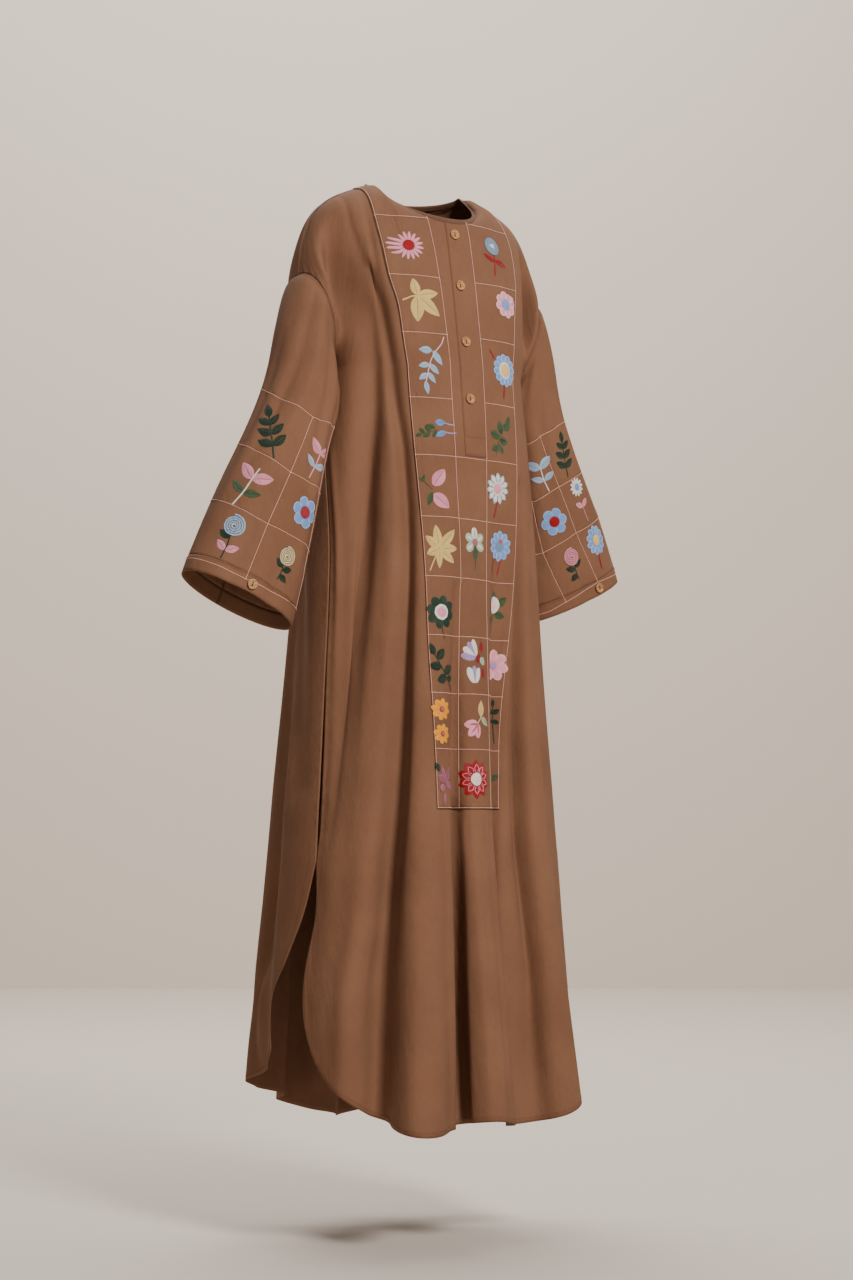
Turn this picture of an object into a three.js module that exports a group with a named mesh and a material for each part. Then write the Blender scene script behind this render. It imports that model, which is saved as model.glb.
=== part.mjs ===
// A long loose dress with an embroidered front panel, wide sleeves and side slits,
// hollow and standing open as it is worn. Millimetres, +Z up. The origin lies between
// the tops of the shoulders, the front faces -Y and the wearer's right is at -X.
import * as THREE from 'three';

// Cloth and seams
const CLOTH = 1.6;
const SEAM_GAP = 0.3;
const BAND_CLOTH = 2.2;
const PANEL_CLOTH = 1;
const STAND_CLOTH = 1.2;
const LAID_ON = 0.3;
const ARMHOLE_GAP = { shoulder: 0.5, underarm: 2.6 };

// Neck
const NECK_HALF_WIDTH = 88;
const NECK_FRONT = { reach: -98, drop: 64 };
const NECK_BACK = { reach: 62, drop: 12 };
const SHOULDER_Y = 3;
const BINDING_WIDTH = 7;
const BINDING_OUT = 2.4;
const BINDING_GAP = 1;
const BINDING_STEPS = 2;
const BINDING_LEAN = { upward: 0.6, inward: 0.35, lift: 0.3 };

// Heights
const UNDERARM_Z = -288;
const SLIT_TOP_Z = -1009;
const HEM_Z = -1392;

// Dropped armhole, for the side at +X; the other side mirrors it
const ARMHOLE = { x: 185, y: 0, z: -218, halfLength: 71.5, depth: 60, tilt: 72, frontLift: 8 };

// Stitched front panel: half width and the heights of its cell lines
const PANEL_HALF_WIDTH = 97;
const STAND_LEFT = -14;
const STAND_RIGHT = 28.5;
const STAND_FOOT_Z = -421;
const PANEL_FOOT_Z = -936;
const CELL_LINES_Z = [-334, -421, -510, -600, -684, -768, -848, -936];

// Grid of the cloth
const PANEL_COLUMNS = [0, 14, 28.5, 46, 64, 80, 88, 97];
const SIDE_CELLS = 14;
const YOKE_CELLS = 9;
const SKIRT_TAIL_CELLS = 5;
// Shares of even and of eased spacing of the side columns, which crowd towards the side seam
const SIDE_SPACING = { even: 0.62, eased: 0.38 };
const BACK_COLUMN_RADIUS = 175;

// Sections of the dress seen from above: half width, front depth and back depth
const SECTIONS = [
  { z: -200, half: 156, front: 131, back: 112 },
  { z: -288, half: 163, front: 138, back: 118 },
  { z: -421, half: 176, front: 147, back: 128 },
  { z: -600, half: 192, front: 150, back: 141 },
  { z: -768, half: 205, front: 156, back: 152 },
  { z: -936, half: 219, front: 160, back: 165 },
  { z: -1100, half: 230, front: 170, back: 178 },
  { z: -1250, half: 240, front: 181, back: 189 },
  { z: -1430, half: 250, front: 192, back: 201 },
];
const SQUARENESS = 2.3;

// Folds of the skirt. Angles in degrees, 0 at -X, 90 at the front, 270 at the back.
// A fold starts at one height, has its full depth at the next and its hem depth at the hem.
const FOLDS = [
  { name: 'knee', top: 64, hem: 62, half: 30, start: -280, full: -640, depth: 30, hemDepth: 22 },
  { name: 'turned side', top: 122, hem: 120, half: 26, start: -380, full: -860, depth: -22, hemDepth: -12 },
  { name: 'seam ridge', top: 29, hem: 20, half: 5, start: -450, full: -640, depth: 6, hemDepth: 0 },
  { name: 'pale panel', top: 34, hem: 30, half: 12, start: -500, full: -900, depth: 5, hemDepth: 10 },
  { name: 'first valley', top: 48, hem: 43, half: 9, start: -480, full: -950, depth: -16, hemDepth: -30 },
  { name: 'first ridge', top: 62, hem: 58, half: 12, start: -560, full: -1000, depth: 12, hemDepth: 30 },
  { name: 'second valley', top: 76, hem: 75, half: 8, start: -520, full: -900, depth: -16, hemDepth: -34 },
  { name: 'middle ridge', top: 93, hem: 94, half: 13, start: -600, full: -950, depth: 6, hemDepth: 28 },
  { name: 'third valley', top: 112, hem: 114, half: 9, start: -400, full: -860, depth: -22, hemDepth: -36 },
  { name: 'third ridge', top: 134, hem: 136, half: 14, start: -500, full: -950, depth: 10, hemDepth: 34 },
  { name: 'fourth valley', top: 151, hem: 151, half: 9, start: -560, full: -950, depth: -8, hemDepth: -20 },
  { name: 'far side ridge', top: 165, hem: 165, half: 9, start: -560, full: -950, depth: 4, hemDepth: 10 },
  { name: 'back valley 1', top: 186, hem: 187, half: 9, start: -520, full: -950, depth: -6, hemDepth: -17 },
  { name: 'back ridge 1', top: 202, hem: 203, half: 11, start: -560, full: -950, depth: 6, hemDepth: 17 },
  { name: 'back valley 2', top: 219, hem: 219, half: 9, start: -430, full: -900, depth: -10, hemDepth: -23 },
  { name: 'back ridge 2', top: 235, hem: 236, half: 12, start: -560, full: -980, depth: 6, hemDepth: 18 },
  { name: 'back valley 3', top: 248, hem: 250, half: 8, start: -500, full: -950, depth: -9, hemDepth: -22 },
  { name: 'back ridge 3', top: 266, hem: 265, half: 12, start: -600, full: -950, depth: 5, hemDepth: 18 },
  { name: 'back valley 4', top: 284, hem: 281, half: 9, start: -420, full: -900, depth: -11, hemDepth: -25 },
  { name: 'back ridge 4', top: 298, hem: 297, half: 11, start: -580, full: -960, depth: 6, hemDepth: 17 },
  { name: 'back valley 5', top: 313, hem: 312, half: 8, start: -540, full: -950, depth: -9, hemDepth: -20 },
  { name: 'back ridge 5', top: 328, hem: 329, half: 12, start: -560, full: -950, depth: 5, hemDepth: 16 },
  { name: 'back valley 6', top: 346, hem: 346, half: 8, start: -520, full: -900, depth: -7, hemDepth: -15 },
];

// Angle of the side seam and of the slit's two edges, measured from the side line
const SEAM_ANGLES = [
  { z: -288, seen: 0, hidden: 0 },
  { z: -421, seen: 8, hidden: 7 },
  { z: -560, seen: 15, hidden: 12 },
  { z: -768, seen: 16.3, hidden: 14 },
  { z: -1009, seen: 16.8, hidden: 15 },
];
const FRONT_SLIT_EDGE = [
  { z: -1009, seen: 16.8, hidden: 15 },
  { z: -1085, seen: 17.6, hidden: 15.4 },
  { z: -1174, seen: 13.8, hidden: 15.2 },
  { z: -1280, seen: 14.2, hidden: 16 },
];
const BACK_SLIT_EDGE = [
  { z: -1009, seen: 16.8, hidden: 15 },
  { z: -1085, seen: 12, hidden: 13 },
  { z: -1147, seen: 4.5, hidden: 10 },
  { z: -1220, seen: -6, hidden: 7 },
  { z: -1311, seen: 0, hidden: 5 },
];

// Shirt-tail hem: the front has rounded corners and a wave, the back rises to the slits
const HEM_ANGLE_Z = -1300;
const FRONT_CORNER = { rise: 165, angle: 34 };
const FRONT_HEM_LIFT = { rise: 20, angle: 60 };
const FRONT_HEM_WAVE = { depth: 9, middle: 58, waves: 6, base: -4 };
const BACK_HEM = { drop: 16, rise: 114, power: 1.2 };
const BACK_CORNER = { rise: 22, share: 0.1 };

// Shoulder line from the neck to the armhole, for the side at +X
const SHOULDER_LINE = [
  { at: 0, x: 88, z: 0 },
  { at: 0.28, x: 130, z: -16 },
  { at: 0.5, x: 163, z: -35 },
  { at: 0.68, x: 186, z: -62 },
  { at: 0.84, x: 201, z: -104 },
  { at: 1, x: 207.1, z: -150 },
];

// Sleeves from armhole to cuff: middle of the ring, tilt of the ring, half width and depth
const SLEEVE_STATIONS = [
  { at: 0, x: 185, zRight: -218, zLeft: -218, yRight: 0, yLeft: 0, tilt: 72, half: 71.5, depth: 60 },
  { at: 0.035, x: 193, zRight: -225, zLeft: -225, yRight: -3, yLeft: 0, tilt: 69, half: 70, depth: 60 },
  { at: 0.12, x: 200, zRight: -269, zLeft: -266, yRight: -14, yLeft: 1, tilt: 50, half: 67, depth: 57 },
  { at: 0.25, x: 212, zRight: -321, zLeft: -314, yRight: -24, yLeft: 8, tilt: 31, half: 62, depth: 54 },
  { at: 0.4, x: 237, zRight: -384, zLeft: -372, yRight: -32, yLeft: 18, tilt: 23, half: 63, depth: 53 },
  { at: 0.7, x: 282, zRight: -511, zLeft: -488, yRight: -32, yLeft: 32, tilt: 23, half: 81, depth: 57 },
  { at: 0.945, x: 317.5, zRight: -616, zLeft: -583, yRight: -29, yLeft: 43, tilt: 25, half: 91, depth: 61 },
  { at: 1, x: 325, zRight: -639, zLeft: -605, yRight: -28, yLeft: 45, tilt: 25, half: 92, depth: 62 },
];
const SLEEVE_RINGS = [0, 0.035, 0.12, 0.22, 0.34, 0.5, 0.66, 0.8, 0.945];
const CUFF_START = 0.945;
const CUFF_GAP = 0.0008;
const SLEEVE_CLEARANCE = 3;

// Armpit groove between the chest and the arm
const GROOVE = { depth: 46, middle: 0.6, half: 0.3, full: 0.5, fading: 0.5, gone: 0.85, backShare: 0.7 };

// How the cloth above the underarm comes forward from the shoulder, and how far the arm pulls it
const YOKE_ARCH = { power: 2.6, root: 1.9 };
const YOKE_FLAT_POWER = 0.9;
const ARM_PULL_POWER = 2.4;

// Buttons
const BUTTON = { radius: 7.5, height: 3.2, rim: 1.4, dish: 1 };
const FRONT_BUTTON_Z = [-84, -163, -249, -335];
const BUTTON_SIDES = 16;
const CUFF_BUTTON_TURN = 80;

const DEGREE = Math.PI / 180;
const clamp01 = (t) => Math.min(1, Math.max(0, t));
const smooth = (t) => {
  const c = clamp01(t);
  return c * c * (3 - 2 * c);
};
const mix = (a, b, t) => a + (b - a) * t;

// A smooth curve through one column of a table, read at a value of another column
function readTable(table, key, value, column) {
  const rising = table[table.length - 1][key] > table[0][key];
  const place = rising ? value : -value;
  const keys = table.map((row) => (rising ? row[key] : -row[key]));
  let k = 0;
  while (k < table.length - 2 && place > keys[k + 1]) k += 1;
  const t = clamp01((place - keys[k]) / (keys[k + 1] - keys[k]));
  const span = keys[k + 1] - keys[k];
  const slopeAt = (i) => {
    const low = Math.max(0, i - 1);
    const high = Math.min(table.length - 1, i + 1);
    return (table[high][column] - table[low][column]) / (keys[high] - keys[low]);
  };
  const from = table[k][column];
  const to = table[k + 1][column];
  const t2 = t * t;
  const t3 = t2 * t;
  const ease = (2 * t3 - 3 * t2 + 1) * from + (3 * t2 - 2 * t3) * to;
  return ease + (t3 - 2 * t2 + t) * span * slopeAt(k) + (t3 - t2) * span * slopeAt(k + 1);
}

// How far the folds stand out of the plain section at one angle and height
function foldRelief(angle, z) {
  let relief = 0;
  for (const fold of FOLDS) {
    if (z > fold.start) continue;
    const down = (fold.start - z) / (fold.start - HEM_Z);
    const middle = mix(fold.top, fold.hem, down);
    let away = Math.abs(angle - middle) % 360;
    away = Math.min(away, 360 - away) / fold.half;
    if (away >= 1.6) continue;
    const grown = smooth((fold.start - z) / (fold.start - fold.full));
    const late = clamp01((fold.full - z) / (fold.full - HEM_Z));
    const depth = grown * mix(fold.depth, fold.hemDepth, late);
    relief += depth * Math.cos((away / 1.6) * (Math.PI / 2)) ** 3;
  }
  return relief;
}

// A point of the dress below the underarm, at an angle round the body
function sectionPoint(angle, z) {
  const half = readTable(SECTIONS, 'z', z, 'half');
  const cos = Math.cos(angle * DEGREE);
  const sin = Math.sin(angle * DEGREE);
  const depth = readTable(SECTIONS, 'z', z, sin > 0 ? 'front' : 'back');
  const plain = (Math.abs(cos / half) ** SQUARENESS + Math.abs(sin / depth) ** SQUARENESS) ** (-1 / SQUARENESS);
  const radius = plain + foldRelief(angle, z);
  return new THREE.Vector3(-radius * cos, -radius * sin, z);
}

// The angle that lies a given length of cloth away from the middle of the front
function angleAtLength(length, z) {
  const step = length < 0 ? -0.5 : 0.5;
  let angle = 90;
  let left = Math.abs(length);
  let from = sectionPoint(angle, z);
  for (let i = 0; i < 200 && left > 0; i += 1) {
    const to = sectionPoint(angle + step, z);
    const walked = from.distanceTo(to);
    if (walked >= left) return angle + (step * left) / walked;
    left -= walked;
    angle += step;
    from = to;
  }
  return angle;
}

// Columns of the cloth: a length from the middle inside the stitched panel, a share past it
function clothColumns() {
  const right = PANEL_COLUMNS.map((length) => ({ side: 1, length, share: 0 }));
  for (let k = 1; k <= SIDE_CELLS; k += 1) {
    const even = k / SIDE_CELLS;
    const share = SIDE_SPACING.even * even + SIDE_SPACING.eased * Math.sin((even * Math.PI) / 2);
    right.push({ side: 1, length: PANEL_HALF_WIDTH, share });
  }
  const left = right.slice(1).reverse().map((column) => ({ ...column, side: -1 }));
  return [...left, ...right];
}

function edgeAngle(isFront, side, z) {
  const column = side < 0 ? 'seen' : 'hidden';
  if (z >= SLIT_TOP_Z) return readTable(SEAM_ANGLES, 'z', z, column);
  return readTable(isFront ? FRONT_SLIT_EDGE : BACK_SLIT_EDGE, 'z', z, column);
}

function columnAngle(isFront, column, z) {
  const edge = edgeAngle(isFront, column.side, z);
  if (isFront) {
    const inner = angleAtLength(column.side * column.length, z);
    const outer = column.side < 0 ? edge : 180 - edge;
    return mix(inner, outer, column.share);
  }
  const inner = 270 - (column.side * column.length) / (BACK_COLUMN_RADIUS * DEGREE);
  const outer = column.side < 0 ? 360 + edge : 180 - edge;
  return mix(inner, outer, column.share);
}

// Height of the hem under a column, with its rounded corners at the slits
function hemHeight(isFront, column) {
  const angle = columnAngle(isFront, column, HEM_ANGLE_Z);
  const edge = edgeAngle(isFront, column.side, HEM_ANGLE_Z);
  if (isFront) {
    const fromEdge = column.side < 0 ? angle - edge : 180 - edge - angle;
    const inside = 1 - clamp01(fromEdge / FRONT_CORNER.angle);
    const corner = FRONT_CORNER.rise * (1 - Math.sqrt(1 - inside ** 2));
    const lift = FRONT_HEM_LIFT.rise * smooth(1 - fromEdge / FRONT_HEM_LIFT.angle);
    const turn = (angle - FRONT_HEM_WAVE.middle) * FRONT_HEM_WAVE.waves * DEGREE;
    const wave = FRONT_HEM_WAVE.base + FRONT_HEM_WAVE.depth * Math.cos(turn);
    return HEM_Z + corner + lift - wave;
  }
  const fromMiddle = Math.abs(angle - 270) / (90 + edge);
  const inside = clamp01((fromMiddle - 1 + BACK_CORNER.share) / BACK_CORNER.share);
  const corner = BACK_CORNER.rise * (1 - Math.sqrt(1 - inside ** 2));
  return HEM_Z - BACK_HEM.drop + BACK_HEM.rise * fromMiddle ** BACK_HEM.power + corner;
}

// The armhole's ring; turn runs from 0 at the shoulder past the front to 180 underarm
function armholePoint(side, turn) {
  const along = Math.cos(turn * DEGREE);
  const across = Math.sin(turn * DEGREE);
  const x = ARMHOLE.x + ARMHOLE.halfLength * Math.cos(ARMHOLE.tilt * DEGREE) * along;
  const z = ARMHOLE.z + ARMHOLE.halfLength * Math.sin(ARMHOLE.tilt * DEGREE) * along;
  const lift = across > 0 ? ARMHOLE.frontLift * across : 0;
  return new THREE.Vector3(side * x, ARMHOLE.y - ARMHOLE.depth * across, z + lift);
}

// The top edge: neckline inside the shoulder, then the shoulder line out to the armhole
function topPoint(isFront, column) {
  const neck = isFront ? NECK_FRONT : NECK_BACK;
  if (column.length <= NECK_HALF_WIDTH) {
    const low = Math.sqrt(1 - (column.length / NECK_HALF_WIDTH) ** 2);
    const y = SHOULDER_Y + (neck.reach - SHOULDER_Y) * low;
    return new THREE.Vector3(column.side * column.length, y, -neck.drop * low);
  }
  const start = (column.length - NECK_HALF_WIDTH) / (SHOULDER_LINE[1].x - NECK_HALF_WIDTH) * SHOULDER_LINE[1].at;
  const at = mix(start, 1, column.share);
  const x = readTable(SHOULDER_LINE, 'at', at, 'x');
  const z = readTable(SHOULDER_LINE, 'at', at, 'z');
  return new THREE.Vector3(column.side * x, mix(SHOULDER_Y, ARMHOLE.y, at), z);
}

// A point above the underarm: a patch between top edge, armhole, middle line and chest section
function yokePoint(isFront, column, down) {
  const top = topPoint(isFront, column);
  const bottom = sectionPoint(columnAngle(isFront, column, UNDERARM_Z), UNDERARM_Z);
  const edgeColumn = { side: column.side, length: PANEL_HALF_WIDTH, share: 1 };
  const edgeTop = topPoint(isFront, edgeColumn);
  const edgeBottom = armholePoint(column.side, 180);
  const armTurn = isFront ? 180 * down : 360 - 180 * down;
  const arm = armholePoint(column.side, armTurn);
  const out = column.share;
  const arch = (1 - (1 - down) ** YOKE_ARCH.power) ** (1 / YOKE_ARCH.root);
  const flat = down ** YOKE_FLAT_POWER;
  const shoulder = smooth(column.length / PANEL_HALF_WIDTH);
  const forward = mix(flat, arch, shoulder);
  const point = new THREE.Vector3();
  point.x = mix(top.x, bottom.x, down) + out * (arm.x - mix(edgeTop.x, edgeBottom.x, down));
  point.z = mix(top.z, bottom.z, down) + out * (arm.z - mix(edgeTop.z, edgeBottom.z, down));
  const pull = out ** ARM_PULL_POWER;
  point.y = mix(top.y, bottom.y, forward) + pull * (arm.y - mix(edgeTop.y, edgeBottom.y, forward));
  const away = (out - GROOVE.middle) / GROOVE.half;
  if (Math.abs(away) < 1) {
    const fade = smooth((down - GROOVE.fading) / (GROOVE.gone - GROOVE.fading));
    const depth = GROOVE.depth * smooth(down / GROOVE.full) * (1 - fade);
    const shape = Math.cos((away * Math.PI) / 2) ** 2;
    point.y += (isFront ? 1 : -GROOVE.backShare) * depth * shape;
  }
  return point;
}

// All points of the front or the back, row by row from the top edge to the hem
function bodyGrid(isFront, columns) {
  const rows = [];
  for (let i = 0; i < YOKE_CELLS; i += 1) {
    const down = i / YOKE_CELLS;
    rows.push(columns.map((column) => yokePoint(isFront, column, down)));
  }
  for (const z of [UNDERARM_Z, ...CELL_LINES_Z, SLIT_TOP_Z]) {
    rows.push(columns.map((column) => sectionPoint(columnAngle(isFront, column, z), z)));
  }
  for (let i = 1; i <= SKIRT_TAIL_CELLS; i += 1) {
    const down = i / SKIRT_TAIL_CELLS;
    rows.push(columns.map((column) => {
      const z = mix(SLIT_TOP_Z, hemHeight(isFront, column), down);
      return sectionPoint(columnAngle(isFront, column, z), z);
    }));
  }
  return rows;
}

// Normals of a grid of points, turned away from the middle of each row
function gridNormals(rows, closedRound) {
  const columns = rows[0].length;
  const normals = rows.map((row, i) => row.map((point, j) => {
    const up = rows[Math.max(0, i - 1)][j];
    const below = rows[Math.min(rows.length - 1, i + 1)][j];
    const before = closedRound ? row[(j + columns - 1) % columns] : row[Math.max(0, j - 1)];
    const after = closedRound ? row[(j + 1) % columns] : row[Math.min(columns - 1, j + 1)];
    const along = new THREE.Vector3().subVectors(below, up);
    const across = new THREE.Vector3().subVectors(after, before);
    return along.cross(across).normalize();
  }));
  const row = rows[rows.length - 2];
  const middle = new THREE.Vector3(0, 0, 0);
  if (closedRound) row.forEach((p) => middle.addScaledVector(p, 1 / columns));
  else middle.z = row[0].z;
  let outward = 0;
  row.forEach((p, j) => { outward += p.clone().sub(middle).dot(normals[rows.length - 2][j]); });
  if (outward < 0) normals.forEach((list) => list.forEach((n) => n.negate()));
  return normals;
}

// Six times the volume inside the triangles, negative where they face inwards
function signedVolume(positions, index) {
  const corner = (k) => new THREE.Vector3().fromArray(positions, index[k] * 3);
  let volume = 0;
  for (let k = 0; k < index.length; k += 3) {
    volume += corner(k).dot(corner(k + 1).cross(corner(k + 2)));
  }
  return volume;
}

// A closed wall of cloth between two grids of points
function wallGeometry(outer, inner, closedRound) {
  const rows = outer.length;
  const columns = outer[0].length;
  const positions = [];
  for (const grid of [outer, inner]) {
    for (const row of grid) for (const p of row) positions.push(p.x, p.y, p.z);
  }
  const index = [];
  const at = (layer, i, j) => layer * rows * columns + i * columns + (j % columns);
  const quad = (a, b, c, d) => index.push(a, b, c, a, c, d);
  const wraps = closedRound ? columns : columns - 1;
  for (let i = 0; i < rows - 1; i += 1) {
    for (let j = 0; j < wraps; j += 1) {
      quad(at(0, i, j), at(0, i + 1, j), at(0, i + 1, j + 1), at(0, i, j + 1));
      quad(at(1, i, j), at(1, i, j + 1), at(1, i + 1, j + 1), at(1, i + 1, j));
    }
  }
  for (let j = 0; j < wraps; j += 1) {
    quad(at(0, 0, j), at(0, 0, j + 1), at(1, 0, j + 1), at(1, 0, j));
    quad(at(0, rows - 1, j), at(1, rows - 1, j), at(1, rows - 1, j + 1), at(0, rows - 1, j + 1));
  }
  if (!closedRound) {
    const last = columns - 1;
    for (let i = 0; i < rows - 1; i += 1) {
      quad(at(0, i, 0), at(1, i, 0), at(1, i + 1, 0), at(0, i + 1, 0));
      quad(at(0, i, last), at(0, i + 1, last), at(1, i + 1, last), at(1, i, last));
    }
  }
  const geometry = new THREE.BufferGeometry();
  geometry.setAttribute('position', new THREE.Float32BufferAttribute(positions, 3));
  geometry.setIndex(signedVolume(positions, index) < 0 ? index.reverse() : index);
  geometry.computeVertexNormals();
  return geometry;
}

function moveOut(rows, normals, distance) {
  return rows.map((row, i) => row.map((p, j) => p.clone().addScaledVector(normals[i][j], distance)));
}

// A point of a sleeve, as the armhole's ring but kept clear of the body's side
function sleevePoint(side, at, turn) {
  const read = (column) => readTable(SLEEVE_STATIONS, 'at', at, column);
  const tilt = read('tilt') * DEGREE;
  const half = read('half');
  const along = Math.cos(turn * DEGREE);
  const across = Math.sin(turn * DEGREE);
  const y = read(side < 0 ? 'yRight' : 'yLeft') - read('depth') * across;
  const lift = across > 0 ? ARMHOLE.frontLift * across * (1 - smooth(at / 0.2)) : 0;
  const z = read(side < 0 ? 'zRight' : 'zLeft') + half * Math.sin(tilt) * along + lift;
  let x = read('x') + half * Math.cos(tilt) * along;
  if (z < UNDERARM_Z + 6) {
    const body = readTable(SECTIONS, 'z', z, 'half');
    const depth = readTable(SECTIONS, 'z', z, y < 0 ? 'front' : 'back');
    const inside = 1 - Math.min(1, Math.abs(y) / depth) ** SQUARENESS;
    x = Math.max(x, body * inside ** (1 / SQUARENESS) + SLEEVE_CLEARANCE);
  }
  return new THREE.Vector3(side * x, y, z);
}

function sleeveRows(side, rings) {
  const around = YOKE_CELLS * 2;
  return rings.map((at) => Array.from({ length: around }, (_, k) => sleevePoint(side, at, (360 * k) / around)));
}

const clothMaterial = new THREE.MeshStandardMaterial({ color: 0x8a5f45, roughness: 0.82, metalness: 0 });
const panelMaterial = new THREE.MeshStandardMaterial({ color: 0x86593f, roughness: 0.82, metalness: 0 });
const bindingMaterial = new THREE.MeshStandardMaterial({ color: 0x6f4a35, roughness: 0.8, metalness: 0 });
const buttonMaterial = new THREE.MeshStandardMaterial({ color: 0xc89a63, roughness: 0.5, metalness: 0 });

const dress = new THREE.Group();
function addPiece(name, geometry, material) {
  const mesh = new THREE.Mesh(geometry, material);
  mesh.name = name;
  dress.add(mesh);
  return mesh;
}

// Front and back, with shared normals where they meet
const columns = clothColumns();
const frontRows = bodyGrid(true, columns);
const backRows = bodyGrid(false, columns);
const frontNormals = gridNormals(frontRows, false);
const backNormals = gridNormals(backRows, false);
const SLIT_ROW = YOKE_CELLS + 1 + CELL_LINES_Z.length;

function shareNormals(...normals) {
  const sum = normals.reduce((total, n) => total.add(n), new THREE.Vector3()).normalize();
  normals.forEach((n) => n.copy(sum));
}
for (let j = 0; j < columns.length; j += 1) {
  if (columns[j].length >= NECK_HALF_WIDTH) shareNormals(frontNormals[0][j], backNormals[0][j]);
}
for (let i = YOKE_CELLS; i <= SLIT_ROW; i += 1) {
  shareNormals(frontNormals[i][0], backNormals[i][0]);
  shareNormals(frontNormals[i].at(-1), backNormals[i].at(-1));
}

// Sleeves, which share their normals with the armhole's edge and start a gap below it
const sleeves = [['right', -1], ['left', 1]].map(([word, side]) => {
  const rows = sleeveRows(side, SLEEVE_RINGS);
  const normals = gridNormals(rows, true);
  const edge = side < 0 ? 0 : columns.length - 1;
  for (let k = 0; k < YOKE_CELLS * 2; k += 1) {
    const beside = [];
    if (k <= YOKE_CELLS) beside.push(frontNormals[k][edge]);
    if (k === 0 || k >= YOKE_CELLS) beside.push(backNormals[(YOKE_CELLS * 2 - k) % (YOKE_CELLS * 2)][edge]);
    const ring = rows[0];
    const alongRing = ring[(k + 1) % ring.length].clone().sub(ring.at(k - 1)).normalize();
    shareNormals(normals[0][k], ...beside);
    for (const n of [normals[0][k], ...beside]) n.addScaledVector(alongRing, -n.dot(alongRing)).normalize();
  }
  rows[0].forEach((point, k) => {
    const downSleeve = new THREE.Vector3().subVectors(rows[1][k], point).normalize();
    const under = smooth((Math.min(k, YOKE_CELLS * 2 - k) / YOKE_CELLS - 0.3) / 0.3);
    point.addScaledVector(downSleeve, mix(ARMHOLE_GAP.shoulder, ARMHOLE_GAP.underarm, under));
  });
  return { word, side, rows, normals };
});

// Both edges of a seam step back from each other by half the gap
function openSeams(rows, isFront) {
  const half = (isFront ? -1 : 1) * SEAM_GAP * 0.5;
  const last = rows[0].length - 1;
  for (let j = 0; j <= last; j += 1) {
    if (columns[j].length >= NECK_HALF_WIDTH) rows[0][j].y += half;
  }
  for (let i = YOKE_CELLS; i <= SLIT_ROW; i += 1) {
    for (const j of [0, last]) rows[i][j].y += half;
  }
}
openSeams(frontRows, true);
openSeams(backRows, false);

addPiece('front', wallGeometry(frontRows, moveOut(frontRows, frontNormals, -CLOTH), false), clothMaterial);
addPiece('back', wallGeometry(backRows, moveOut(backRows, backNormals, -CLOTH), false), clothMaterial);

// Stitched panel and button stand, made from the front's own points
const isOnPanel = (column) => column.share === 0;
const isOnStand = (column) => {
  const length = column.side * column.length;
  return column.share === 0 && length >= STAND_LEFT && length <= STAND_RIGHT;
};
function laidOnFront(isInside, lastRow, start, thickness) {
  const keep = columns.map((column, j) => j).filter((j) => isInside(columns[j]));
  const rows = frontRows.slice(0, lastRow + 1).map((row) => keep.map((j) => row[j]));
  const normals = frontNormals.slice(0, lastRow + 1).map((row) => keep.map((j) => row[j]));
  return wallGeometry(moveOut(rows, normals, start + thickness), moveOut(rows, normals, start), false);
}
const rowAtHeight = (z) => YOKE_CELLS + 1 + CELL_LINES_Z.indexOf(z);
addPiece('front_panel', laidOnFront(isOnPanel, rowAtHeight(PANEL_FOOT_Z), LAID_ON, PANEL_CLOTH), panelMaterial);
const standStart = LAID_ON + PANEL_CLOTH + LAID_ON;
addPiece('button_stand', laidOnFront(isOnStand, rowAtHeight(STAND_FOOT_Z), standStart, STAND_CLOTH), panelMaterial);

// Neck binding, a closed band that carries on past the neckline's edge
function neckBinding() {
  const isNeck = (column) => column.share === 0 && column.length <= NECK_HALF_WIDTH;
  const neck = columns.map((column, j) => j).filter((j) => isNeck(columns[j]));
  const edge = [];
  const take = (rows, normals, j) => {
    const upward = new THREE.Vector3().subVectors(rows[0][j], rows[1][j]).normalize();
    edge.push({ point: rows[0][j].clone(), normal: normals[0][j].clone(), upward });
  };
  neck.forEach((j) => take(frontRows, frontNormals, j));
  neck.slice(1, -1).reverse().forEach((j) => take(backRows, backNormals, j));
  for (const at of edge) {
    const inward = new THREE.Vector3(-at.point.x, -at.point.y, 0).normalize();
    at.upward.multiplyScalar(BINDING_LEAN.upward).addScaledVector(inward, BINDING_LEAN.inward);
    at.upward.z += BINDING_LEAN.lift;
    at.upward.normalize();
  }
  const outer = [];
  const inner = [];
  for (let i = 0; i <= BINDING_STEPS; i += 1) {
    const up = BINDING_GAP + (BINDING_WIDTH * i) / BINDING_STEPS;
    const round = Math.sqrt(1 - (0.75 * (i / BINDING_STEPS)) ** 4);
    const at = (e, out) => e.point.clone().addScaledVector(e.upward, up).addScaledVector(e.normal, out);
    outer.push(edge.map((e) => at(e, BINDING_OUT * round)));
    inner.push(edge.map((e) => at(e, -CLOTH * round)));
  }
  return wallGeometry(outer, inner, true);
}
addPiece('neck_binding', neckBinding(), bindingMaterial);

function buttonGeometry() {
  const { radius, height, rim, dish } = BUTTON;
  const profile = [
    new THREE.Vector2(0, 0),
    new THREE.Vector2(radius * 0.86, 0),
    new THREE.Vector2(radius, height * 0.36),
    new THREE.Vector2(radius * 0.95, height),
    new THREE.Vector2(radius - rim, height),
    new THREE.Vector2(radius - rim * 1.8, height - dish),
    new THREE.Vector2(0, height - dish),
  ];
  return new THREE.LatheGeometry(profile, BUTTON_SIDES).rotateX(Math.PI / 2);
}

function placeButton(name, point, normal) {
  const button = addPiece(name, buttonGeometry(), buttonMaterial);
  button.position.copy(point);
  button.quaternion.setFromUnitVectors(new THREE.Vector3(0, 0, 1), normal.clone().normalize());
}

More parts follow.
